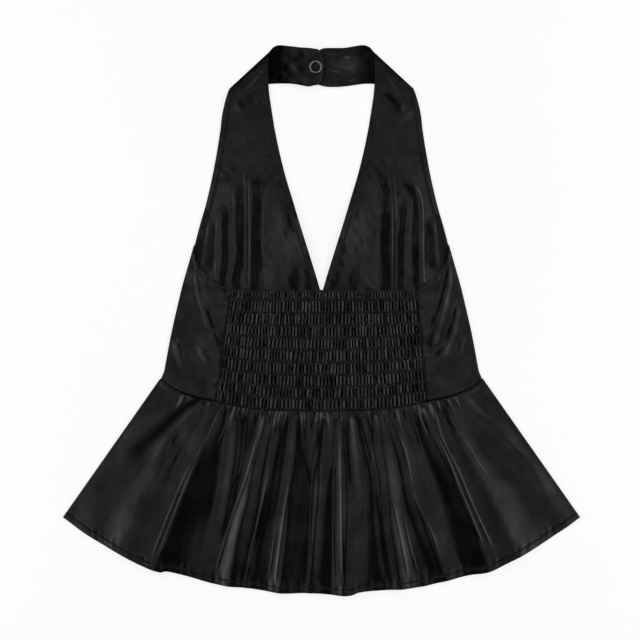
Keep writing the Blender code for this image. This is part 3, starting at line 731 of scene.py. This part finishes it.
def leather(name, colour, roughness, grain):
    """Coated faux leather: satin, with a fine pebbled grain and soft unevenness."""
    material, tree, shader = new_material(name)
    spot = node(tree, "ShaderNodeTexCoord").outputs["Object"]
    in_cells = {"feature": "DISTANCE_TO_EDGE"}
    cells = node(tree, "ShaderNodeTexVoronoi", in_cells, Vector=spot, Scale=1400.0)
    edges = cells.outputs["Distance"]
    pebble = node(tree, "ShaderNodeMapRange", Value=edges, From_Max=0.22)
    fine = node(tree, "ShaderNodeTexNoise", Vector=spot, Scale=260.0, Detail=4.0)
    noise = {"Scale": 38.0, "Detail": 4.0, "Roughness": 0.6}
    broad = node(tree, "ShaderNodeTexNoise", Vector=spot, **noise).outputs["Fac"]
    dark, light = ((*[c * share for c in colour], 1) for share in (0.75, 1.35))
    tint = node(tree, "ShaderNodeMix", {"data_type": "RGBA"}, A=dark, B=light, Factor=broad)

    # painted shade and sheen from the shells' attribute: high values dim the reflections and roughen
    # the coating, values below 0 brighten the reflections
    painted_light = node(tree, "ShaderNodeAttribute", {"attribute_name": "shade_and_sheen"}).outputs["Fac"]
    shine = {"To_Min": roughness - 0.05, "To_Max": roughness + 0.06}
    polish = node(tree, "ShaderNodeMapRange", Value=broad, **shine).outputs["Result"]
    rough = node(tree, "ShaderNodeMapRange", Value=painted_light, To_Min=polish, To_Max=0.75)
    levels = {"From_Min": 0.3, "From_Max": 0.7, "To_Min": 0.36, "To_Max": 0.66}
    coat = node(tree, "ShaderNodeMapRange", Value=broad, **levels).outputs["Result"]
    # the specular level: dimmed by painted shade, raised past the coat's level by painted sheen
    beyond = {"clamp": False}
    glint_and_shade = node(tree, "ShaderNodeMapRange", beyond, Value=painted_light, To_Min=coat, To_Max=0.03)

    height = pebble.outputs["Result"]
    grainy = node(tree, "ShaderNodeBump", Strength=grain, Distance=0.00002, Height=height)
    under, height = grainy.outputs["Normal"], fine.outputs["Fac"]
    uneven = node(tree, "ShaderNodeBump", Strength=0.5, Distance=0.00006, Height=height, Normal=under)
    fill(
        tree,
        shader,
        Base_Color=tint.outputs["Result"],
        Roughness=rough.outputs["Result"],
        Specular_IOR_Level=glint_and_shade.outputs["Result"],
        Normal=uneven.outputs["Normal"],
    )
    return material


def thread(name, colour):
    material, tree, shader = new_material(name)
    spot = node(tree, "ShaderNodeTexCoord").outputs["Object"]
    slanted, wave = {"bands_direction": "DIAGONAL"}, {"Scale": 900.0, "Distortion": 2.0}
    twist = node(tree, "ShaderNodeTexWave", slanted, Vector=spot, **wave).outputs["Fac"]
    bump = node(tree, "ShaderNodeBump", Strength=0.5, Distance=0.0001, Height=twist)
    fill(tree, shader, Normal=bump.outputs["Normal"], Base_Color=(*colour, 1))
    fill(tree, shader, Roughness=0.6, Specular_IOR_Level=0.25)
    return material


def steel(name):
    material, tree, shader = new_material(name)
    spot = node(tree, "ShaderNodeTexCoord").outputs["Object"]
    noise = node(tree, "ShaderNodeTexNoise", Vector=spot, Scale=1400.0, Detail=5.0)
    scratches = noise.outputs["Fac"]
    polish = node(tree, "ShaderNodeMapRange", Value=scratches, To_Min=0.12, To_Max=0.3)
    fill(tree, shader, Roughness=polish.outputs["Result"])
    fill(tree, shader, Base_Color=(0.3, 0.3, 0.31, 1), Metallic=1.0)
    return material


def floor_material():
    material, tree, shader = new_material("pale_floor")
    spot = node(tree, "ShaderNodeTexCoord").outputs["Object"]
    cloudy = node(tree, "ShaderNodeTexNoise", Vector=spot, Scale=3.0, Detail=2.0).outputs["Fac"]
    greys = {"A": (0.40, 0.40, 0.40, 1), "B": (0.43, 0.43, 0.43, 1)}
    tint = node(tree, "ShaderNodeMix", {"data_type": "RGBA"}, Factor=cloudy, **greys)
    fill(tree, shader, Base_Color=tint.outputs["Result"], Roughness=0.9)
    fill(tree, shader, Specular_IOR_Level=0.1)
    fill(tree, shader, Emission_Color=(1, 1, 1, 1), Emission_Strength=0.745)
    return material


# Fronts


def front_sections(side, tab):
    """As in the solids: the ends of each section, the height of the middle of the wall, the bow
    of a round end, and 1 where the folds show or 0 on the band."""
    sections = []
    for row in BODICE:
        sections.append((max(row.neck, GAP / 2), row.y, row.side, row.y, 0, 0, 1))
    for row in STRAP:
        sections.append((row.neck_x, row.neck_y, row.arm_x, row.arm_y, row.lift, 0, 1))
    along_x, along_y = FOLD_NECK[0] - FOLD_ARM[0], FOLD_NECK[1] - FOLD_ARM[1]
    length = math.hypot(along_x, along_y)
    out_x, out_y = along_y / length, -along_x / length
    for step in range(FOLD_STEPS + 1):
        angle = math.pi * step / FOLD_STEPS
        reach = FOLD_RADIUS * math.sin(angle) - FOLD_RADIUS - WALL / 2
        height = FOLD_RADIUS * (1 + math.cos(angle))
        neck = (FOLD_NECK[0] + out_x * reach, FOLD_NECK[1] + out_y * reach)
        arm = (FOLD_ARM[0] + out_x * reach, FOLD_ARM[1] + out_y * reach)
        sections.append((*neck, *arm, height, 0, 0))
    for row in HIDDEN_BAND + tab:
        sections.append((row.top_x, row.top_y, row.low_x, row.low_y, row.lift, row.end_bow, 0))
    sections = np.array(sections, float)
    sections[:, [0, 2]] *= side
    sections[:, 5] *= -side
    return sections


def front(name, side, tab, material, thread_material):
    columns = 140
    sections = front_sections(side, tab)
    moves = np.abs(np.diff(sections, axis=0))
    moves = np.stack(
        [np.hypot(moves[:, 0], moves[:, 1]), np.hypot(moves[:, 2], moves[:, 3]), moves[:, 4]]
    ).max(axis=0)
    knots = np.concatenate([[0], np.cumsum(moves)])
    at = [
        np.linspace(a, b, max(3, round((b - a) / FRONT_ROW_STEP)), endpoint=False)
        for a, b in zip(knots, knots[1:])
    ]
    at = np.concatenate([*at, knots[-1:]])
    rows = np.stack([curve(knots, sections[:, c], at) for c in range(7)], axis=1)
    fine = 18  # closer columns at each edge
    stops = (0, fine, columns - fine, columns)
    share = np.interp(np.arange(columns + 1), stops, (0, 0.09, 0.91, 1))[None, :]
    neck_x, neck_y, arm_x, arm_y, lift, bow, open_side = (rows[:, c : c + 1] for c in range(7))
    round_end = np.sqrt(np.maximum(1 - (2 * share - 1) ** 2, 0))
    x = between(neck_x, arm_x, share) + bow * round_end
    y = between(neck_y, arm_y, share)
    z = lift + WALL / 2 + 0 * share

    # from the waist seam to the first section
    first = 20
    down = np.linspace(0, 1, first, endpoint=False)[:, None]
    seam_x = side * between(GAP / 2, BODICE_WAIST_X, share)
    low_x = between(seam_x, x[:1], down)
    low_y = between(along(WAIST, seam_x) + GAP / 2, y[:1], down)
    x = np.concatenate([low_x, x])
    y = np.concatenate([low_y, y])
    z = np.concatenate([np.full_like(low_x, WALL / 2), z])
    open_side = np.clip(np.concatenate([np.ones((first, 1)), open_side]), 0, 1)

    flat = np.stack([x, y, z], axis=2)
    from_neck = runs(flat, 1)
    from_arm = from_neck[:, -1:] - from_neck
    from_start = runs(flat, 0)
    from_end = from_start[-1:] - from_start
    above_v, above_arm = ease((y - V_BOTTOM_Y) / 8), ease((y - ARMHOLE_TOP_Y) / 8)

    from_back = 0.33 * ease((y + 20) / 50) + 0.67 * ease((y - TOP_EDGE_Y) / 40)
    raised = np.maximum(V_HINGE_X - np.abs(x), 0) * V_TILT * from_back * (1 - ease((y - 100) / 70))
    creases = softened(raised + joined(FRONT_RIDGES, x, y), 3) + summed(FRONT_LINES, x, y)
    creases = creases + 0.1 * ripple(0.4 * x, y, 17, 9) * ease((y - 120) / 40)
    creases = creases + 0.2 + 0.12 * ripple(x, y, 34, 3) + 0.05 * ripple(x, y, 13, 4)
    z = z + open_side * (creases + 0.015 * ripple(x, y, 5, 5))
    on_band = (1 - open_side) * (1 - ease((np.abs(x) - 40) / 10))
    z = z + on_band * (joined(BAND_RIDGES, x, y) + 0.2 + 0.2 * ripple(x, y, 15, 6))
    for distance, shows, seed in ((from_neck, above_v, 11), (from_arm, above_arm, 12)):
        pucker = ripple(from_start, 0 * x, 9, seed + (side > 0))
        z = z + 0.16 * pucker * shows * hump(distance - STITCH_INSET, 4.0)
    z = np.maximum(z, (SKIN + LOW) / 2 + 0.3)

    middle = np.stack([x, y, z], axis=2)
    normal = normals_of(middle) * side
    hem = np.maximum(
        ease((HEM_WIDTH - from_neck) / EDGE_STEP) * above_v,
        ease((HEM_WIDTH - np.minimum(from_arm, from_end)) / EDGE_STEP) * above_arm,
    )
    groove = sum(
        hump(distance - STITCH_INSET, 0.8) * shows
        for distance, shows in ((from_neck, above_v), (from_arm, above_arm), (from_end, above_arm))
    )
    relief = 0.22 * hem - 0.2 * np.clip(groove, 0, 1)
    upper = middle + normal * (SKIN / 2 + relief * open_side)[:, :, None]
    lower = middle - normal * (SKIN / 2 + relief * (1 - open_side))[:, :, None]

    # painted shade, which dims the reflections: in the stitch grooves and the armholes, and on the
    # band, mottled, more on the left tab and beside the straps
    armhole_shade = (1 - ease(from_arm / 26)) * ease((y - 16) / 10) * (1 - ease((y - 60) / 50))
    blotch = 0.2 - 0.01 * x + 0.3 * ripple(x, y, 16, 8)
    strap_shade = (0.85 + 0.12 * ripple(x, y, 14, 10)) * ease((np.abs(x) - 33) / 10)
    shade_and_sheen = np.maximum(0.5 * groove, 0.95 * armhole_shade) * open_side
    shade_and_sheen = shade_and_sheen + (1 - open_side) * (np.maximum(blotch, strap_shade) + 0.12 * (side < 0))
    # a painted highlight: a bright patch in the right band's reflections
    painted_highlight = hump(x - 28, 13) * hump(y - 265, 7) * (side > 0)
    shade_and_sheen = np.clip(shade_and_sheen, 0, 1) - 1.6 * (1 - open_side) * painted_highlight
    # painted shadow along the tab's round end, on the side and edge of the band that show
    tab_end_shadow = 0.9 * hump(from_end, 1.6)
    obj = shell(name, upper, lower, material, shade_and_sheen, np.minimum(shade_and_sheen + tab_end_shadow, 1))

    # stitches show on the side that is seen, which is the other one on the band
    body, band = open_side[:, 0] > 0.99, open_side[:, 0] < 0.01
    lines = []
    for surface, facing, shown in ((upper, normal, body), (lower, -normal, band)):
        for flip, lowest in ((False, V_BOTTOM_Y + 8), (True, ARMHOLE_TOP_Y)):
            edge_y = y[:, -1] if flip else y[:, 0]
            line_rows = np.nonzero(shown & (edge_y > lowest))[0]
            grid, way = (g[:, ::-1] if flip else g for g in (surface, facing))
            distance = from_arm[:, ::-1] if flip else from_neck
            lines.append(inset_line(grid, way, distance, line_rows, STITCH_INSET))
    seam = stitches(name + "_stitches", lines, thread_material)
    return obj, seam


# Back


def back_layer(x, side_x):
    """Underside of the back over the table: lowest at the side seams."""
    return BACK_LAYER + BACK_RISE * ease((side_x - np.abs(x)) / RISE_WIDTH)


def hemmed(name, place, from_edge, sizes, groove, shade_and_sheen, material, thread_material):
    """A piece of the back with its first or last row turned in and stitched. sizes are the width
    of the turned edge and how far in its stitches are, which lie in the groove."""
    width, inset = sizes
    middle = np.stack(place, axis=2)
    normal = upward(normals_of(middle))
    hem = ease((width - from_edge) / EDGE_STEP)
    upper = middle + normal * (SKIN / 2 + 0.3 * hem - 0.25 * groove)[:, :, None]
    obj = shell(name, upper, middle - normal * (SKIN / 2), material, shade_and_sheen)
    inward = 1 if from_edge[0, 0] < from_edge[-1, 0] else -1
    grids = (np.swapaxes(g[::inward], 0, 1) for g in (upper, normal, from_edge))
    line = inset_line(*grids, np.arange(2, from_edge.shape[1] - 2), inset)
    return obj, stitches(name + "_stitches", [line], thread_material)


def side_back(name, side, material, thread_material):
    columns, rows = 68, 112
    across = np.linspace(0, 1, columns + 1)[None, :]
    down = np.linspace(0, 1, rows + 1)[:, None]
    inner_top_x = abs(SHIRR_TOP_LEFT_X if side < 0 else SHIRR_TOP_RIGHT_X)

    def inner_edge(down):
        x = between(inner_top_x, SHIRR_BOTTOM_X, down) + GAP
        return x, between(TOP_EDGE_Y, along(WAIST, x) + GAP / 2, down)

    def outer_edge(down):
        y = between(ARMHOLE_TOP_Y, along(WAIST, BODICE_WAIST_X) + GAP / 2, down)
        at_waist = ease(14 * down - 13)  # over the last fourteenth
        return between(bodice_side(y), BODICE_WAIST_X, at_waist), y

    top = [*ARMHOLE, SeamPoint(*(float(v) for v in inner_edge(0.0)))]
    steps = np.arange(len(top))
    top_edge = [curve(steps, [p[axis] for p in top], across * steps[-1]) for axis in (0, 1)]
    bottom_x = between(BODICE_WAIST_X, SHIRR_BOTTOM_X + GAP, across)
    bottom_edge = (bottom_x, along(WAIST, bottom_x) + GAP / 2)
    spot = []
    for axis in (0, 1):
        ruled = between(outer_edge(down)[axis], inner_edge(down)[axis], across)
        crossed = between(top_edge[axis], bottom_edge[axis], down)
        first = between(outer_edge(0.0)[axis], inner_edge(0.0)[axis], across)
        last = between(outer_edge(1.0)[axis], inner_edge(1.0)[axis], across)
        spot.append(ruled + crossed - between(first, last, down))
    x, y = side * spot[0], spot[1]
    z = back_layer(x, bodice_side(y)) + LOW + SKIN / 2
    flat = np.stack([x, y, z], axis=2)
    from_top, from_side = runs(flat, 0), runs(flat, 1)
    from_waist, from_shirring = from_top[-1:] - from_top, from_side[:, -1:] - from_side
    away = ease(np.minimum(from_side, from_waist) / 6)
    folds = softened(joined(SIDE_RIDGES, x, y), 6)
    z = z + away * (folds + 0.2 * ripple(x, y, 26, 21) + 0.04 * ripple(x, y, 12, 24))
    z = z + 0.18 * ripple(from_side, 0 * y, 9, 22) * hump(from_top - BACK_INSET, 3.0)
    z = z + 0.3 * away * ripple(0 * x, y, 10, 23) * hump(from_shirring, 7)
    z = z - 0.35 * hump(from_shirring, 1.6) - 0.4 * hump(from_waist, 2.0)
    groove = hump(from_top - BACK_INSET, 0.7)
    # painted shade along the waist seam and the seam with the shirred panel
    shade_and_sheen = np.maximum(np.exp(-((from_waist / 1.9) ** 4)), 0.7 * hump(from_shirring, 1.2))
    sizes = (BACK_HEM_WIDTH, BACK_INSET)
    return hemmed(name, (x, y, z), from_top, sizes, groove, shade_and_sheen, material, thread_material)


def shirred_back(name, material):
    """The shirred panel: rows of small upright puffs between lines of elastic stitching."""
    columns = PUFFS * 8
    stops = np.array([0, 0.07, 0.13, 0.19, 0.28, 0.5, 0.72, 0.81, 0.87, 0.93])
    across = np.linspace(0, 1, columns + 1)[None, :]
    at = (np.arange(len(STITCH_LINES) - 1)[:, None] + stops).reshape(-1)
    at = np.append(at, len(STITCH_LINES) - 1)[:, None]
    line_y = np.interp(at, np.arange(len(STITCH_LINES)), STITCH_LINES)
    down = (TOP_EDGE_Y - line_y) / (TOP_EDGE_Y - STITCH_LINES[-1])
    left = between(SHIRR_TOP_LEFT_X, -SHIRR_BOTTOM_X, down)
    right = between(SHIRR_TOP_RIGHT_X, SHIRR_BOTTOM_X, down)
    x = between(left, right, across)
    y = line_y + SHIRR_DIP * down * (2 * across - 1) ** 2
    seam_y = along(WAIST, x[-1]) + GAP / 2
    y = y + (seam_y - y[-1]) * ease((at - 9) / 1)

    rng = np.random.default_rng(17)
    row_of = np.clip(at.astype(int), 0, len(STITCH_LINES) - 2)
    in_row = at - row_of
    height = np.zeros(x.shape)
    crinkle = np.zeros(x.shape)
    shade_and_sheen = np.zeros(x.shape)
    for row in range(len(STITCH_LINES) - 1):
        here = (row_of == row)[:, 0]
        f = in_row[here]
        place = 100 * across[0]
        warp = 0.22 * ripple(place, 0 * place, 20, 100 + row) + rng.uniform(-0.5, 0.5)
        tilt = 0.16 * ripple(place, 0 * place, 12, 200 + row)
        u = PUFFS * across[0] + warp + tilt * (f - 0.5)
        puff = np.floor(u).astype(int) + 2
        size = rng.uniform(0.8, 1.15, PUFFS + 6)[puff]
        lean = rng.uniform(0.7, 1.45, PUFFS + 6)[puff]
        bar = 1 - np.abs(2 * (u - np.floor(u)) ** lean - 1) ** 1.6
        end = rng.uniform(0.03, 0.13, PUFFS + 6)[puff]
        rise = ease((np.minimum(f, 1 - f) - end) / 0.09)
        if row == 0:
            end = end + 0.12 + 0.1 * ripple(u * 3.3, 0 * u, 3, 600)
            rise = ease((1 - f - end) / 0.12) * ease((f - end) / 0.2)
        height[here] = size * bar * rise
        # painted glints and shade: brighter or dimmer reflections on each puff's crest, painted shade
        # in the gaps between puffs, and a mottled painted shade along the stitch lines
        glint_and_shade = rng.uniform(-1.0, 0.5, PUFFS + 6)[puff] + 0.3 * ripple(u * 4, 9 * f, 3, 500 + row)
        gap = 1 - (1 - glint_and_shade) * ease((bar - 0.55) / 0.4)
        thread_line = hump(np.minimum(f, 1 - f), 0.03)
        strip = 0.3 + 0.35 * ripple(u * 3.3, 3 * f, 2.4, 400 + row) + 0.45 * thread_line
        shade_and_sheen[here] = between(strip, gap, rise)
        crinkle[here] = (1 - rise) * ripple(u * 3.3, 2 * f, 2.2, 300 + row)
    in_edge = ease(np.minimum(across, 1 - across) * 200 / 2.0)
    inside = BACK_LAYER + BACK_RISE + LOW + SKIN
    z = inside + 1.3 * height * in_edge + 0.2 * crinkle * in_edge
    z = z - 0.3 * hump(y - seam_y, 1.8)
    ragged = 0.5 * ripple(x, 0 * x, 5, 25) * (1 - ease(at / 0.3))
    upper = np.stack([x, y + (0.2 * crinkle + ragged) * in_edge, z], axis=2)
    lower = upper - np.array([0, 0, SKIN])
    return shell(name, upper, lower, material, np.clip(shade_and_sheen, -1, 1))


# Peplum


def gathers(seam_x, run):
    """Small uneven gathers below the waist seam, at their own places along it."""
    rng = random.Random(5)
    total = np.zeros(np.broadcast(seam_x, run).shape)
    place = -GATHERED_HALF_WIDTH
    while place < GATHERED_HALF_WIDTH:
        half, reach = rng.uniform(*GATHER_HALF), rng.uniform(*GATHER_REACH)
        lean = rng.uniform(-0.12, 0.12)
        t = np.clip(np.abs(seam_x - place - lean * run) / half, 0, 1)
        fade = hump(run, reach) * ease((run + 2) / 4)
        total += rng.uniform(*GATHER_HEIGHT) * (0.5 + 0.5 * np.cos(math.pi * t)) * fade
        place += rng.uniform(*GATHER_PITCH)
    return total


def peplum_spots(across, down, inset=0.0):
    """Where a peplum's points are seen from above, with its hem drawn in by the inset."""
    seam_x = between(-WAIST[-1].x, WAIST[-1].x, across)
    hem_x = between(-HEM[-1].x, HEM[-1].x, across)
    x = between(seam_x, hem_x * (1 - inset / HEM[-1].x), down)
    y = between(along(WAIST, seam_x) - GAP / 2, along(HEM, hem_x) + inset, down)
    return seam_x, x, y


def peplum_back(name, material, thread_material):
    columns, rows = 680, 68
    across = np.linspace(0, 1, columns + 1)[None, :]
    down = np.interp(np.arange(rows + 1), (0, 12, 52, rows), (0, 0.06, 0.95, 1))[:, None]
    seam_x, x, y = peplum_spots(across, down)
    lift = BACK_RISE * (1 - ease(down / 0.6)) * ease((WAIST[-1].x - np.abs(seam_x)) / RISE_WIDTH)
    base = BACK_LAYER + lift + LOW + SKIN / 2
    flat = np.stack([x, y, base], axis=2)
    run = runs(flat, 0)
    from_hem = run[-1:] - run
    at_side = ease((1 - np.abs(2 * across - 1)) / 0.03)
    folds = softened(joined(PEPLUM_RIDGES, x, y) + summed(PEPLUM_SMALL, x, y), 7)
    folds = folds + summed(PEPLUM_LINES, x, y)
    folds = folds + gathers(seam_x, run) + 0.25 * ripple(x, 0.7 * y, 50, 31)
    folds = folds + 0.035 * ripple(x, 0.6 * y, 13, 33) + 0.012 * ripple(x, 0.7 * y, 5, 34)
    folds = folds - 0.5 * hump(run, 1.8)
    folds = folds + 0.6 * hump(run - 2.4, 1.3) * ease((np.abs(seam_x) - 100) / 20)
    pucker = 0.2 * ripple(x, 0 * y, 8, 32) * hump(from_hem - PEPLUM_INSET, 4.0)
    z = base + at_side * (folds + pucker)
    groove = hump(from_hem - PEPLUM_INSET, 0.8)
    plain = ease((np.abs(seam_x) - GATHERED_HALF_WIDTH) / 15)
    # painted shade along the waist seam, stronger where it is gathered, and in the hem's stitch
    # groove; then the painted shade deep in folds, less the painted highlights
    shade_and_sheen = np.maximum((0.7 - 0.6 * plain) * hump(run, 1.1), 0.8 * groove)
    shade_and_sheen = np.clip(np.maximum(shade_and_sheen, summed(PEPLUM_FOLD_SHADE, x, y)), 0, 1)
    shade_and_sheen -= summed(PEPLUM_HIGHLIGHTS, x, y)
    sizes = (HEM_WIDTH, PEPLUM_INSET)
    return hemmed(name, (x, y, z), from_hem, sizes, groove, shade_and_sheen, material, thread_material)


def peplum_front(name, material):
    columns, rows = 120, 40
    across = np.linspace(0, 1, columns + 1)[None, :]
    down = np.linspace(0, 1, rows + 1)[:, None]
    _, x, y = peplum_spots(across, down, FRONT_PEPLUM_INSET)
    middle = np.stack([x, y, np.full(x.shape, WALL / 2)], axis=2)
    thick = np.array([0, 0, SKIN / 2])
    return shell(name, middle + thick, middle - thick, material)


# Snap


def turned(name, profile, material, steps=72):
    """A round piece from its closed half section of (radius, height) points."""
    profile = np.array(profile, float)
    turn = np.arange(steps) * 2 * math.pi / steps
    solid = profile[:, 0].min() <= 0
    rim = profile[profile[:, 0] > 0] if solid else profile
    x = SNAP_X + rim[None, :, 0] * np.cos(turn)[:, None]
    y = SNAP_Y + rim[None, :, 0] * np.sin(turn)[:, None]
    z = np.broadcast_to(rim[None, :, 1], x.shape)
    points = np.stack([x, y, z], axis=2).reshape(-1, 3)
    count = len(rim)
    index = np.arange(steps * count).reshape(steps, count)
    after = np.roll(index, -1, axis=0)
    last = count - 1 if solid else count
    faces = []
    for k in range(last):
        n = (k + 1) % count
        faces += np.stack([index[:, k], after[:, k], after[:, n], index[:, n]], axis=1).tolist()
    if solid:
        faces += [index[:, 0].tolist(), index[:, -1].tolist()]
    return mesh_object(name, points, faces, material)


def domed_ring(name, bore, radius, low, thickness, material):
    steps = 12
    centre, half = (bore + radius) / 2, (radius - bore) / 2
    section = [(bore, low), (radius, low)]
    for step in range(steps + 1):
        angle = math.pi * step / steps
        height = low + thickness * (0.35 + 0.65 * math.sin(angle))
        section.append((centre + half * math.cos(angle), height))
    return turned(name, section, material)


def snap(material):
    ring, bore = RING_RADIUS, RING_BORE
    knob_top, flange_top = SOCKET_Z + SOCKET_THICKNESS - GAP, FLANGE_Z + STUD_FLANGE
    stud = [(1.2, knob_top), (1.9, knob_top - 0.1), (2.2, knob_top - 0.4), (2.0, flange_top)]
    stud += [(STUD_RADIUS - 0.3, flange_top), (STUD_RADIUS, flange_top - 0.2)]
    stud += [(STUD_RADIUS, FLANGE_Z), (0.5, FLANGE_Z), (0, FLANGE_Z)]
    return {
        "snap_ring": domed_ring("snap_ring_shell", bore, ring, RING_Z, RING_THICKNESS, material),
        "snap_socket": domed_ring(
            "snap_socket_shell", SOCKET_BORE, SOCKET_RADIUS, SOCKET_Z, SOCKET_THICKNESS, material
        ),
        "snap_stud": turned("snap_stud_shell", stud, material),
        "snap_back_ring": domed_ring(
            "snap_back_ring_shell", bore, ring, 0.05, BACK_RING_THICKNESS, material
        ),
    }


# Studio


def floor(material):
    corners = [(-1, -1, 0), (1, -1, 0), (1, 1, 0), (-1, 1, 0)]
    obj = mesh_object("studio_floor", np.array(corners) * FLOOR_REACH, [(0, 1, 2, 3)], material)
    for polygon in obj.data.polygons:
        if polygon.normal.z < 0:
            obj.data.flip_normals()


def softbox(light, ending="", side=1):
    data = bpy.data.lights.new(light.name + ending, "AREA")
    data.shape = "RECTANGLE"
    data.size, data.size_y = light.size
    data.energy = light.radiance * math.pi * light.size[0] * light.size[1]
    obj = bpy.data.objects.new(light.name + ending, data)
    spot, aim = (Vector((x * side, y, z)) for x, y, z in (light.place, light.aim))
    obj.location = spot
    obj.rotation_euler = (aim - spot).to_track_quat("-Z", "Y").to_euler()
    bpy.context.scene.collection.objects.link(obj)


def lights():
    for side, ending in ((-1, "_left"), (1, "_right")):
        for light in PAIRED_LIGHTS:
            softbox(light, ending, side)
    for light in END_LIGHTS:
        softbox(light)
    world = bpy.data.worlds.new("studio")
    world.use_nodes = True
    background = world.node_tree.nodes["Background"]
    background.inputs["Color"].default_value = (1, 1, 1, 1)
    background.inputs["Strength"].default_value = WORLD_STRENGTH
    bpy.context.scene.world = world


def camera():
    data = bpy.data.cameras.new("camera")
    data.lens = LENS
    data.sensor_width = SENSOR
    obj = bpy.data.objects.new("camera", data)
    distance = FRAME_WIDTH * LENS / SENSOR
    obj.location = (FRAME_CENTRE_X, 0, distance + CLOTH_HEIGHT)
    bpy.context.scene.collection.objects.link(obj)
    bpy.context.scene.camera = obj


def register(obj, node_name=None):
    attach(obj, "root")
    if node_name:
        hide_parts(node_name)


def main():
    black = (0.0015, 0.0015, 0.0016)
    hide = leather("faux_leather_looks", black, 0.19, 0.4)
    inside = leather("faux_leather_inside_looks", black, 0.19, 0.4)
    black_thread = thread("black_thread", (0.004, 0.004, 0.004))
    metal = steel("snap_steel_looks")

    for side, word, tab in ((-1, "left", TOP_TAB), (1, "right", UNDER_TAB)):
        node_name = "front_" + word
        obj, seam = front(node_name + "_shell", side, tab, inside, black_thread)
        register(obj, node_name)
        register(seam)

        node_name = "back_side_" + word
        obj, seam = side_back(node_name + "_shell", side, hide, black_thread)
        register(obj, node_name)
        register(seam)

    obj = shirred_back("back_shirred_shell", hide)
    register(obj, "back_shirred")

    obj, seam = peplum_back("peplum_back_shell", hide, black_thread)
    register(obj, "peplum_back")
    register(seam)

    obj = peplum_front("peplum_front_shell", hide)
    register(obj, "peplum_front")

    for node_name, obj in snap(metal).items():
        register(obj, node_name)

    floor(floor_material())
    lights()
    camera()
    bpy.context.scene.view_settings.view_transform = "Standard"


main()
